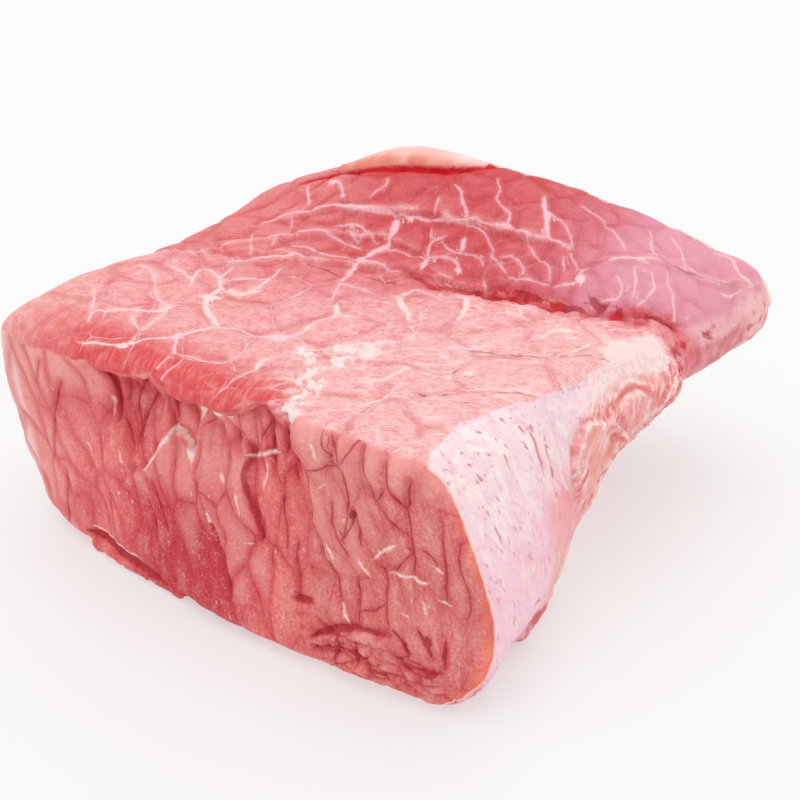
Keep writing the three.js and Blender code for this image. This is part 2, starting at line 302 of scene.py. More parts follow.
# Raw red spots on the flank, by place and radius, and lumps of fat by place, half sizes and turn
RED_BITS = [
    (102, 131, 68.5, 1.6), (96.3, 114.4, 68.5, 2.0), (97, 110.8, 62, 1.6), (104, 137, 66, 1.0),
    (86, 79.5, 49, 1.6), (93, 36, 9, 5),
]
FAT_LUMPS = [
    ((92.0, 39.0, 13.0), (2.6, 5.0, 9.0), (-20, 0, 0)),
    ((90.0, 34.0, 5.0), (3.0, 5.0, 4.0), (-20, 0, 0)),
]


# ---- fields worked out over many points at once --------------------------------------------------------


def ramp(value, low, high):
    """0 at low, 1 at high, smooth between."""
    share = np.clip((value - low) / (high - low), 0.0, 1.0)
    return share * share * (3.0 - 2.0 * share)


def band(value, low, high, soft):
    """1 between low and high, fading over soft outside them."""
    return ramp(value, low - soft, low) * (1.0 - ramp(value, high, high + soft))


def ridge(value, width):
    return np.exp(-((value / width) ** 2))


def swell(spots, size, seed):
    """Smooth lumps between -1 and 1, about size across."""
    lattice = np.random.default_rng(seed).uniform(-1.0, 1.0, (LATTICE, LATTICE, LATTICE))
    spot = spots / size
    corner = np.floor(spot).astype(int)
    share = spot - corner
    share = share * share * (3.0 - 2.0 * share)
    corner %= LATTICE
    beyond = (corner + 1) % LATTICE
    total = np.zeros(len(spots))
    for step in np.ndindex(2, 2, 2):
        cell = [beyond[:, axis] if step[axis] else corner[:, axis] for axis in range(3)]
        weight = np.ones(len(spots))
        for axis in range(3):
            weight *= share[:, axis] if step[axis] else 1.0 - share[:, axis]
        total += weight * lattice[cell[0], cell[1], cell[2]]
    return total


def bends(spots, size, seed):
    """Two swells side by side, to bend a flat pattern with."""
    return np.column_stack([swell(spots, size, seed), swell(spots, size, seed + 1)])


def crumple(spots, size, seed):
    """Lumps with finer lumps on them."""
    coarse = swell(spots, size, seed)
    return 0.6 * coarse + 0.3 * swell(spots, size / 2, seed + 1) + 0.15 * swell(spots, size / 4, seed + 2)


def folds(spots, size, seed):
    """Rounded folds with sharp valleys between them, 0 in the valleys and up to 1."""
    fine = swell(spots, size / 2.1, seed + 1)
    return 0.7 * np.sqrt(np.abs(swell(spots, size, seed))) + 0.3 * np.sqrt(np.abs(fine))


def rounded(line):
    """A line, given as x, y, x, y and so on, with its corners cut off twice."""
    line = np.reshape(line, (-1, 2)).astype(float)
    for _ in range(2):
        inner = np.stack([0.75 * line[:-1] + 0.25 * line[1:], 0.25 * line[:-1] + 0.75 * line[1:]], axis=1)
        line = np.vstack([line[:1], inner.reshape(-1, 2), line[-1:]])
    return line


def inside_ends(along, power):
    """1 in the middle of a line, down to 0 at its ends."""
    return 1.0 - np.abs(2 * along - 1) ** power


def off_line(flat, line, reach):
    """For the points near a line: which they are, how far off, on which side, and how far along, 0 to 1."""
    line = rounded(line)
    close = np.nonzero(((flat > line.min(0) - reach) & (flat < line.max(0) + reach)).all(axis=1))[0]
    here = flat[close]
    away = np.full(len(close), 1e3)
    side = np.ones(len(close))
    along = np.zeros(len(close))
    for index, (start, run) in enumerate(zip(line[:-1], np.diff(line, axis=0))):
        offset = here - start
        share = np.clip(offset @ run / (run @ run), 0.0, 1.0)
        offset = offset - share[:, None] * run
        distance = np.hypot(offset[:, 0], offset[:, 1])
        nearer = distance < away
        away = np.where(nearer, distance, away)
        side = np.where(nearer, np.sign(run[0] * offset[:, 1] - run[1] * offset[:, 0]), side)
        along = np.where(nearer, (index + share) / (len(line) - 1), along)
    return close, away, side, along


def nearest_line(flat, by_width):
    """How far off the nearest line each point is, signed for its side and not, and the half width there."""
    found = np.tile(NO_LINE, (len(flat), 1))
    margin = np.full(len(flat), LINE_REACH)
    for half, lines in by_width.items():
        for line in lines:
            close, away, side, along = off_line(flat, line, LINE_REACH)
            breadth = half * (1.0 - 0.75 * np.abs(2 * along - 1) ** 3)
            nearer = away - breadth < margin[close]
            chosen = close[nearer]
            margin[chosen] = (away - breadth)[nearer]
            found[chosen] = np.column_stack([away * side, away, breadth])[nearer]
    return found


def step_up(flat, ledges):
    """The height that the ledges add."""
    total = np.zeros(len(flat))
    for height, length, line in ledges:
        close, away, side, along = off_line(flat, line, 3.0 * length)
        over = away * side
        shape = np.exp(-np.maximum(over, 0) / length) * ramp(over, -0.7, 0.8) - 0.35 * ridge(over + 1.3, 1.3)
        total[close] += height * shape * inside_ends(along, 4)
    return total


def crest_of(flat, ledges):
    """1 on the upper edges of the ledges, 0 off them."""
    total = np.zeros(len(flat))
    for height, _, line in ledges:
        close, away, side, along = off_line(flat, line, LINE_REACH)
        share = ridge(away * side - 1.0, 1.1) * inside_ends(along, 4) * min(1.0, height / 1.4)
        total[close] = np.maximum(total[close], share)
    return total


def past_line(flat, line):
    """How far beyond a line each point is, negative on the side nearer the cut face."""
    _, away, side, _ = off_line(flat, line, WHOLE_REACH)
    return away * side


def colour_cells(seeds, sample):
    """Gives each cell one of six marks, so that no two that touch have the same."""
    far = np.linalg.norm(sample[:, None, :] - seeds[None, :, :], axis=2)
    order = np.argsort(far, axis=1)[:, :4]
    near = np.take_along_axis(far, order, axis=1)
    touching = [set() for _ in seeds]
    for rank in (1, 2, 3):
        close = near[:, rank] - near[:, 0] < 2.5
        for one, other in set(zip(order[close, 0].tolist(), order[close, rank].tolist())):
            touching[one].add(other)
            touching[other].add(one)
    marks = {}
    for cell in sorted(range(len(seeds)), key=lambda c: -len(touching[c])):
        taken = {marks.get(other) for other in touching[cell]}
        free = [mark for mark in range(CELL_MARKS) if mark not in taken]
        marks[cell] = free[0] if free else cell % CELL_MARKS
    return np.array([marks[cell] for cell in range(len(seeds))])


def reach_by_mark(flat, seeds, marks):
    """For each mark, the distance to the nearest seed that has it."""
    reach = np.full((len(flat), CELL_MARKS), FARTHEST_SEED)
    for seed, mark in zip(seeds, marks):
        reach[:, mark] = np.minimum(reach[:, mark], np.hypot(flat[:, 0] - seed[0], flat[:, 1] - seed[1]))
    return reach


def from_border(reach):
    """Distance from the border of the cell that a point is in."""
    nearest = np.partition(reach, 1, axis=1)
    return (nearest[:, 1] - nearest[:, 0]) / 2


def from_small_border(flat, size, seed):
    """Distance from the border of small uneven cells that are about size across."""
    shifts = np.random.default_rng(seed).uniform(0.08, 0.92, (SMALL_CELLS, SMALL_CELLS, 2))
    spot = flat / size
    corner = np.floor(spot).astype(int)
    nearest = np.full(len(flat), 9.0)
    second = nearest.copy()
    for step in np.ndindex(3, 3):
        cell = corner + step - 1
        offset = spot - cell - shifts[cell[:, 0] % SMALL_CELLS, cell[:, 1] % SMALL_CELLS]
        away = np.hypot(offset[:, 0], offset[:, 1])
        second = np.minimum(second, np.maximum(nearest, away))
        nearest = np.minimum(nearest, away)
    return (second - nearest) * size / 2


def puffs(flat, size, seed, soft):
    """Rounded cushions between 0 at their borders and nearly 1."""
    return 1 - np.exp(-from_small_border(flat, size, seed) / soft)


# ---- mesh tools ----------------------------------------------------------------------------------------


def places(mesh):
    """The mesh's points, in millimetres from the foot of the cut face."""
    flat = np.empty(len(mesh.vertices) * 3)
    mesh.vertices.foreach_get("co", flat)
    return flat.reshape(-1, 3) / MM - CUT_FOOT


def put(mesh, spots):
    mesh.vertices.foreach_set("co", ((spots + CUT_FOOT) * MM).ravel())
    mesh.update()


def outward(mesh):
    """The direction that each point faces, evened out over its neighbours."""
    flat = np.empty(len(mesh.vertices) * 3)
    mesh.vertices.foreach_get("normal", flat)
    facing = relax(mesh, flat.reshape(-1, 3), 6)
    return facing / np.linalg.norm(facing, axis=1)[:, None]


def relax(mesh, values, times, strength=0.5):
    """Evens out the points' values along the mesh's edges."""
    pairs = np.empty(len(mesh.edges) * 2, int)
    mesh.edges.foreach_get("vertices", pairs)
    pairs = pairs.reshape(-1, 2)
    count = len(mesh.vertices)
    around = np.bincount(pairs.ravel(), minlength=count).astype(float)
    values = values.copy()
    for _ in range(times):
        for axis in range(values.shape[1]):
            column = values[:, axis]
            total = np.bincount(pairs[:, 0], column[pairs[:, 1]], count)
            total += np.bincount(pairs[:, 1], column[pairs[:, 0]], count)
            values[:, axis] = column + strength * (total / around - column)
    return values


def keep(mesh, name, values):
    """Stores a number or a vector for each point."""
    kind, part = ("FLOAT", "value") if values.ndim == 1 else ("FLOAT_VECTOR", "vector")
    mesh.attributes.new(name, kind, "POINT").data.foreach_set(part, values.astype(np.float32).ravel())


def kept(mesh, name):
    flat = np.empty(len(mesh.vertices) * 3, np.float32)
    mesh.attributes[name].data.foreach_get("vector", flat)
    return flat.reshape(-1, 3).astype(float)


def with_modifier(thing, kind, **settings):
    """Applies one modifier to a mesh object."""
    modifier = thing.modifiers.new(kind.lower(), kind)
    for key, value in settings.items():
        setattr(modifier, key, value)
    bpy.context.view_layer.update()
    mesh = bpy.data.meshes.new_from_object(thing.evaluated_get(bpy.context.evaluated_depsgraph_get()))
    thing.modifiers.remove(modifier)
    old = thing.data
    thing.data = mesh
    bpy.data.meshes.remove(old)


@contextmanager
def opened(mesh):
    """The mesh as a bmesh, written back when the work on it is done."""
    work = bmesh.new()
    work.from_mesh(mesh)
    yield work
    work.to_mesh(mesh)
    work.free()


def add_lump(work, place, size, turn):
    """Adds an egg of the given half sizes to a bmesh."""
    spin = Matrix.Rotation(math.radians(turn[2]), 4, "Z") @ Matrix.Rotation(math.radians(turn[1]), 4, "Y")
    spin = spin @ Matrix.Rotation(math.radians(turn[0]), 4, "X")
    where = Matrix.Translation((Vector(place) + Vector(CUT_FOOT)) * MM)
    scale = Matrix.Diagonal((*[s * MM for s in size], 1.0))
    bmesh.ops.create_icosphere(work, subdivisions=3, radius=1.0, matrix=where @ spin @ scale)


# ---- the block, with its lip and its loose trimmings ---------------------------------------------------


def copy_block():
    """A rounded copy of the solid."""
    block = bpy.data.objects.new("raw_beef_joint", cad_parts["beef_joint"].data.copy())
    bpy.context.scene.collection.objects.link(block)
    with opened(block.data) as work:
        bmesh.ops.remove_doubles(work, verts=work.verts, dist=0.02 * MM)
    with_modifier(block, "SUBSURF", levels=2, render_levels=2)
    return block


def add_trimmings(block):
    """Adds the foot's flap, as a row of lumps, and the lumps of fat at the flank's foot."""
    with opened(block.data) as work:
        for step in range(FLAP_LUMPS):
            share = step / (FLAP_LUMPS - 1)
            size = (4.6, 3.2 + 0.8 * math.sin(5 * share), 2.6)
            add_lump(work, (-51 + 37 * share, -2.0 - 5.0 * share, 2.6), size, (0, 0, -9))
        for lump in FAT_LUMPS:
            add_lump(work, *lump)


def lip_edge_over(spots):
    """The height of the lip's lower edge above each point of the cut face."""
    return np.interp(spots[:, 0], *zip(*LIP_EDGE)) - 1.0 + 1.1 * swell(spots * [1, 0, 0], 7.0, 3)


def press_lip(block):
    """Presses the cut face in under its lip, as far as the fat that ends it on the right."""
    spots = places(block.data)
    x, y, z = spots.T
    lip_edge = lip_edge_over(spots)
    pocket = 0.8 + 0.5 * swell(spots * [1, 0, 0.4], 9.0, 5)
    under = ramp(z, lip_edge - 30, lip_edge - 5) * (1 - ramp(z, lip_edge - 1.2, lip_edge + 0.8))
    across = ramp(x, -70, -44) * (1 - ramp(x, 27.0 - 0.45 * (z - 70), 30.5 - 0.45 * (z - 70)))
    spots[:, 1] += LIP_DEPTH * pocket * under * across * (1 - ramp(y, 18, 34))
    edge = np.clip((24.0 - y) / 24.0, 0, 1)
    rolled = (LIP_ROLL * edge ** 2 + 1.2 * edge ** 6) * ramp(z, 62, 73) * (1 - ramp(x, 16, 27))
    spots[:, 2] -= rolled
    spots[:, 1] -= 1.6 * ridge(z - lip_edge - 2.0, 2.4) * across * (y < 8)
    put(block.data, spots)


def settle(block):
    """Smooths the block and lays its underside flat on the table."""
    spots = places(block.data)
    smooth = relax(block.data, spots, 5)
    smooth[:, 2] = np.where(spots[:, 2] < 0.8, 0.0, smooth[:, 2])
    put(block.data, smooth)


def fill_out(block):
    """Spreads the foot, fills the flank, lifts the tail's far corner and lowers the far left one."""
    spots = places(block.data)
    x, y, z = spots.T
    front = 1 - ramp(y, 8, 44)
    low = 1 - ramp(z, 3, 36)
    beside_flap = 1 - 0.9 * band(x, -48, -14, 14)
    flank = ramp(x, 50, 76)
    forward = FOOT_SPREAD * low * front * beside_flap * (0.5 + 0.5 * ramp(x, -84, -56))
    outward_left = 1.0 * (1 - ramp(z, 12, 52)) * (1 - ramp(x, -84, -60)) * (1 - ramp(y, 20, 70))
    belly = FLANK_FILL * band(y, 74, 98, 22) * band(z, 34, 56, 20) * flank
    heel = 2.4 * band(y, 14, 44, 12) * (1 - ramp(z, 6, 30)) * flank
    tip = 3.0 * ramp(x, 84, 104) * band(y, 120, 146, 14) * (1 - ramp(z, 66, 84))
    corner = np.hypot(x - 104, y - 162)
    far_left = ramp(y, 40, 84) * (1 - ramp(x, -74, -36)) * ramp(z, 40, 74) * (1 - ramp(y, 112, 134))
    spots[:, 0] += belly - heel - tip - outward_left
    spots[:, 1] -= forward
    spots[:, 2] += CORNER_LIFT * (1 - ramp(corner, 4, 20)) * ramp(z, 46, 70) - FAR_LEFT_DROP * far_left
    put(block.data, spots)


def refine(block):
    """Splits the faces that need fine relief: all but the underside and the back."""
    facing = np.empty(len(block.data.polygons) * 3)
    block.data.polygons.foreach_get("normal", facing)
    facing = facing.reshape(-1, 3)
    shown = (facing[:, 2] > 0.3) | (facing[:, 1] < -0.35) | (facing[:, 0] > 0.4)
    with opened(block.data) as work:
        work.faces.ensure_lookup_table()
        edges = {edge for index in np.nonzero(shown)[0] for edge in work.faces[index].edges}
        bmesh.ops.subdivide_edges(work, edges=list(edges), cuts=1, use_grid_fill=True)


joint = copy_block()
add_trimmings(joint)
with_modifier(joint, "REMESH", mode="VOXEL", voxel_size=FIRST_VOXEL)
press_lip(joint)
with_modifier(joint, "REMESH", mode="VOXEL", voxel_size=FINE_VOXEL)
settle(joint)
fill_out(joint)
refine(joint)

# ---- where each kind of surface lies -------------------------------------------------------------------


def sides_of(spots, facing):
    """How much each point belongs to the cut face, to the top and to the right flank."""
    cut = ramp(-facing[:, 1], 0.35, 0.7) * (1 - ramp(spots[:, 1], 26, 34))
    top = ramp(facing[:, 2], 0.35, 0.7) * (1 - cut)
    flank = ramp(facing[:, 0], 0.2, 0.6) * (1 - cut) * (1 - top)
    return cut, top, flank


def lines_near(spots, facing, by_plane):
    """The nearest of the lines that lie on a point's own side."""
    cut, top, flank = sides_of(spots, facing)
    found = np.tile(NO_LINE, (len(spots), 1))
    for name, on_it in (("face", cut > 0.35), ("top", top > 0.5), ("flank", flank > 0.3)):
        here = np.nonzero(on_it)[0]
        flat = spots[here][:, PLANES[name]]
        found[here] = nearest_line(flat + 0.45 * bends(spots[here], 3.0, 81), by_plane[name])
    return found


def read_zones(spots, facing):
    """Signed distances, in millimetres, that say what a point's surface is made of."""
    x, y, z = spots.T
    plan = spots[:, :2]
    skin = x - np.interp(y, *zip(*SKIN_EDGE)) + 1.0 * swell(spots, 7, 21) + 0.4 * swell(spots, 2.5, 25)
    skin = np.minimum(skin, 10 * (facing[:, 1] + 0.62))
    drawn_up = y - 58 - 0.9 * np.maximum(z - 57, 0) + 7 * swell(spots * [1, 1, 0.4], 6, 22)
    right_fat = np.minimum.reduce([drawn_up, 113 - y, z - 30 + 4 * swell(spots, 9, 26), x - 70])
    right_fat = np.where(skin > -1, right_fat, NEVER)
    cap = np.maximum(10 * (facing[:, 1] - 0.25), 10 * (-facing[:, 0] - 0.55)) + 1.5 * swell(spots, 9, 23)
    cap = np.maximum(cap, np.where(z < 62, 10 * (-facing[:, 0] - 0.45), NEVER))
    cap = np.where(y > 4, cap, NEVER)
    behind_gap = past_line(plan, FOLD_GAP)
    fold = np.minimum.reduce([behind_gap - 0.4, 4 - x, x + 52])
    fold = np.where(z > 70, fold, NEVER)
    fat = np.maximum.reduce([right_fat, cap, fold])
    high = z > 66
    for half, line in FAT_PATCHES:
        close, away, _, _ = off_line(plan, line, 8.0)
        ragged = half + 2.4 * swell(spots[close], 3.0, 24) - away
        fat[close] = np.maximum(fat[close], np.where(high[close], ragged, NEVER))
    return skin, fat, behind_gap


# The cut face's bundles are long upright cells that lean to the left at the top
BUNDLE = (10.0, 22.0)


def bundle_spot(spots):
    """Where a point lies on the cut face, in bundle widths, with the bundles' lean and bends taken out."""
    x, _, z = spots.T
    lean = 0.42 - 0.30 * ramp(x, -60, 70) - 0.25 * ramp(x, 70, 100)
    flat = spots * [1, 0, 1]
    across = x + lean * (z - 38) + 3.0 * swell(flat, 17, 31) + 1.2 * swell(flat, 6, 33)
    up = z + 8.0 * swell(flat, 19, 32)
    return np.column_stack([across, up * BUNDLE[0] / BUNDLE[1]])


def bundle_seeds():
    """Middles of the bundles, in uneven rows."""
    random = np.random.default_rng(7)
    seeds = []
    for row in range(-3, 7):
        for column in range(-16, 17):
            across = column + 0.5 * (row % 2) + random.uniform(-0.42, 0.42)
            seeds.append((across * BUNDLE[0], (row + random.uniform(-0.45, 0.45)) * BUNDLE[0]))
    return np.array(seeds)


def grid_sample(low, high, step):
    """Evenly spaced points over a rectangle."""
    across, up = np.meshgrid(np.arange(low[0], high[0], step), np.arange(low[1], high[1], step))
    return np.column_stack([across.ravel(), up.ravel()])


BUNDLE_SEEDS = bundle_seeds()
BUNDLE_MARKS = colour_cells(BUNDLE_SEEDS, grid_sample((-140, -30), (140, 60), 1.5))
TOP_SEEDS = np.array(TOP_CELLS + REAR_CELLS, float)
TOP_MARKS = colour_cells(TOP_SEEDS, grid_sample((-110, -10), (120, 190), 1.5))


# The grain of the level top runs at this angle to the cut face
GRAIN_ANGLE = math.radians(24)
GRAIN_COS, GRAIN_SIN = math.cos(GRAIN_ANGLE), math.sin(GRAIN_ANGLE)
GRAIN_TURN = np.array([[GRAIN_COS, -GRAIN_SIN], [GRAIN_SIN, GRAIN_COS]])


def plan_spot(spots):
    """Where a point lies on the top, with small bends so that no border runs straight."""
    return spots[:, :2] + 2.6 * bends(spots, 10, 41) + 0.9 * bends(spots, 4, 43)


def plan_grain(spots):
    """The place with the grain drawn out along itself."""
    return np.column_stack([spots[:, :2] @ GRAIN_TURN * [0.45, 1.0], spots[:, 2]])


def from_lens(spots):
    """Distance from the border of the small long cells of the level top."""
    return from_small_border(plan_grain(spots)[:, :2] + 0.9 * bends(spots, 5, 91), 4.6, 60)


def face_relief(spots):
    """The cut face: bundles, fingers under the lip, a wrinkled lower right, cracks and ledges."""
    x, y, z = spots.T
    flat = spots[:, [0, 2]]
    bend = bends(spots, 6, 83)
    from_bundle = from_border(reach_by_mark(bundle_spot(spots), BUNDLE_SEEDS, BUNDLE_MARKS))
    under_lip = band(x, -46, 22, 10) * ramp(z, 46, 60) * ramp(lip_edge_over(spots) - z, -0.5, 2.5)
    strength = (0.60 + 0.30 * swell(spots, 16, 51)) * (0.6 + 0.4 * ramp(x, -60, -15))
    strength = strength * (1 - 0.45 * ramp(x, 30, 42))
    bundles = 2.0 * (1 - np.exp(-from_bundle / 3.0)) - 1.2
    hanging = np.column_stack([x + 0.3 * (z - 50), 0.36 * z]) + 1.4 * bend
    fingers = under_lip * (3.0 * puffs(hanging, 7.0, 50, 1.6) - 1.9)
    wrinkled = band(x + 0.9 * z, 52, 90, 6) * (1 - ramp(z + 2 * bend[:, 0], 14, 19))
    crumpled = flat * [0.5, 1.1] + 0.9 * bend
    wrinkles = 2.4 * puffs(crumpled, 3.3, 52, 0.8) + 0.8 * swell(spots, 5, 53) - 1.7
    dark = nearest_line(flat, DARK_LINES["face"])
    away, half = dark[:, 1], dark[:, 2]
    grooves = -(0.16 + 0.8 * half) * ridge(away, 0.5 + 0.8 * half)
    grooves = grooves - (0.36 + 0.4 * half) * np.exp(-away / 2.4)
    hair = np.column_stack([x + 0.3 * z, y, 0.24 * z])
    loose = 0.9 * crumple(spots, 13, 54) + 0.5 * folds(hair, 2.6, 56) + 0.4 * swell(hair, 5.0, 45)
    ledges = step_up(flat + 1.2 * bend, LEDGES["face"])
    scallops = 1.8 * ramp(z, 62, 70) * band(x, 32, 76, 6) * puffs(flat * [1.0, 0.3] + bend, 9.0, 90, 1.6)
    lumps = bundles * strength * (1 - wrinkled) + fingers + wrinkles * wrinkled
    return lumps + grooves + ledges + scallops + loose


def top_relief(spots, skin, fat, behind_gap):
    """The top: pillows between the membranes, the torn seam, the fold's gap and crumbs of fat."""
    x, y, _ = spots.T
    plan = spots[:, :2]
    lean = 1 - ramp(np.maximum(fat, skin), -0.5, 1.0)
    bend = bends(spots, 7, 83)
    from_cell = from_border(reach_by_mark(plan_spot(spots), TOP_SEEDS, TOP_MARKS))
    rear = ramp(past_line(plan, SEAM), -2, 4)
    pillows = (0.75 + 0.55 * rear) * (1 - np.exp(-from_cell / (2.6 - 0.9 * rear))) - 0.45
    dark = nearest_line(plan, DARK_LINES["top"])
    grooves = -(0.2 + 0.8 * dark[:, 2]) * ridge(dark[:, 1], 0.5 + 0.8 * dark[:, 2])
    seam_depth = ramp(x, 0, 36) * (0.75 + 0.5 * swell(spots, 7, 55))
    _, away, _, _ = off_line(plan, SEAM, WHOLE_REACH)
    off_seam = away + 1.6 * swell(spots, 5, 56)
    crevice = -1.6 * seam_depth * ridge(off_seam, 1.2) - 1.3 * seam_depth * ridge(off_seam, 5.0)
    ragged_seam = 1.8 * puffs(plan * [0.7, 1.0] + 2.0 * bend, 4.0, 57, 1.1) + 0.8 * swell(spots, 5, 69) - 1.1
    rags = seam_depth * ridge(away - 1.0, 4.0) * ragged_seam
    lenses = 0.65 * (1 - rear) * ramp(x, -30, 20) * (1 - np.exp(-from_lens(spots) / 0.9))
    loose = 0.5 * crumple(spots, 9, 58) + 0.12 * folds(plan_grain(spots), 2.2, 59)
    gap = -2.6 * ridge(behind_gap + 0.3, 1.5) * band(x, -62, 2, 8)
    gap = gap + 1.0 * ridge(behind_gap - 4, 2.6) * band(x, -50, -6, 12)
    ragged = ramp(fat, -0.6, 1.0) * band(x, -10, 50, 10) * (1 - ramp(y, 54, 62))
    lumps = ragged * (1.8 * puffs(plan + 1.2 * bend, 3.0, 65, 0.8) - 0.2)
    ledges = step_up(plan + 1.6 * bend, LEDGES["top"])
    return (pillows + ledges + lenses + loose) * lean + grooves + crevice + rags + gap + lumps


# The flank's folds run down and forwards at this angle
STRAND_ANGLE = math.radians(34)


def along_strands(spots):
    """The place with the flank's folds turned upright."""
    x, y, z = spots.T
    cosine, sine = math.cos(STRAND_ANGLE), math.sin(STRAND_ANGLE)
    return np.column_stack([x, y * cosine - z * sine, y * sine + z * cosine])


def draped_edges(spots):
    """Where the fat's flaps have their pale edges, their rosy middles and the slits under them."""
    flat = spots[:, [1, 2]]
    pale, rosy, slit = np.zeros((3, len(flat)))
    for height, _, line in LEDGES["flank"]:
        close, away, side, along = off_line(flat, line, 9.0)
        over = away * side + 1.9 * crumple(spots[close], 4.4, 74)
        much = inside_ends(along, 6) * min(1.0, height / 2.6)
        much = much * np.clip(0.6 + 1.3 * swell(spots[close], 6.0, 49), 0, 1)
        pale[close] = np.maximum(pale[close], much * ridge(over - 0.6, 0.5))
        rosy[close] = np.maximum(rosy[close], much * band(over, 2.4, 7.0, 2.0))
        slit[close] = np.maximum(slit[close], much * ridge(over + 1.0, 1.0))
    return np.column_stack([pale, rosy, slit])


def cap_relief(spots):
    """The soft lobes of the fat that covers the left side and the back."""
    x, y, z = spots.T
    bend = bends(spots, 13, 76)
    fine = bends(spots, 4, 78)
    lobes = puffs(np.column_stack([x + y, 1.2 * z]) + 5.0 * bend + 1.2 * fine, 17.0, 46, 2.0)
    small = puffs(np.column_stack([x + y, 1.2 * z]) + 2.0 * bend + 1.2 * fine, 6.0, 47, 1.4)
    broken = np.clip(0.6 + 1.1 * swell(spots, 24, 38), 0.1, 1)
    return broken * (1.0 * lobes + 0.3 * small - 0.9) + 1.2 * crumple(spots, 26, 39)


def side_relief(spots, flank, fat):
    """The silverskin's creases, and the long folds that the fat hangs in."""
    bend = bends(spots, 6, 67)
    hanging = along_strands(spots)[:, 1:]
    crinkled = 0.25 + 0.35 * ramp(spots[:, 2], 40, 62)
    skin_folds = flank * (0.5 * crumple(spots, 9, 64) + crinkled * folds(spots * [1, 1, 0.5], 3.6, 66))
    fatty = ramp(fat, -0.5, 2.5) * ramp(spots[:, 0], 58, 74)
    strands = puffs(hanging * [1.0, 0.2] + 0.8 * bend, 3.4, 62, 1.0)
    strands = (0.9 + 0.9 * ramp(spots[:, 1], 80, 96)) * strands - 0.7
    draped = 0.62 * step_up(spots[:, [1, 2]] + 1.6 * bend, LEDGES["flank"])
    ragged = 1.1 * fatty * folds(spots * [1, 1, 0.7], 3.4, 75)
    pale = nearest_line(spots[:, [1, 2]], PALE_LINES["flank"])
    dark = nearest_line(spots[:, [1, 2]], DARK_LINES["flank"])
    hairs = 0.55 * fatty * folds(along_strands(spots) * [1, 1, 0.2], 1.9, 48)
    raised = (0.5 + 0.8 * pale[:, 2]) * ridge(pale[:, 1], 0.7 + pale[:, 2])
    grooves = -(0.3 + 0.7 * dark[:, 2]) * ridge(dark[:, 1], 0.6 + dark[:, 2])
    cap = (1 - flank) * cap_relief(spots)
    smooth = 0.5 * crumple(spots, 16, 61) + cap + skin_folds
    return smooth + fatty * strands + ragged + hairs + flank * (raised + grooves + draped)


def relief(spots, facing):
    """How far each point stands out from the smooth block."""
    cut, top, flank = sides_of(spots, facing)
    skin, fat, behind_gap = read_zones(spots, facing)
    total = np.zeros(len(spots))
    on_face, on_top, on_side = cut > 0, top > 0, cut + top < 1
    total[on_face] += cut[on_face] * face_relief(spots[on_face])
    total[on_top] += top[on_top] * top_relief(spots[on_top], skin[on_top], fat[on_top], behind_gap[on_top])
    side = side_relief(spots[on_side], flank[on_side], fat[on_side])
    total[on_side] += (1 - cut - top)[on_side] * side
    return total * ramp(spots[:, 2], 0.5, 5.0)


def carve(block):
    """Adds the relief, and keeps where each point was before it."""
    spots = places(block.data)
    facing = outward(block.data)
    moved = spots + facing * relief(spots, facing)[:, None]
    moved[:, 2] = np.maximum(moved[:, 2], 0.0)
    keep(block.data, "spot", spots)
    keep(block.data, "facing", facing)
    put(block.data, moved)


carve(joint)
triangles = sum(len(polygon.vertices) - 2 for polygon in joint.data.polygons)
with_modifier(joint, "DECIMATE", ratio=MOST_TRIANGLES / triangles)


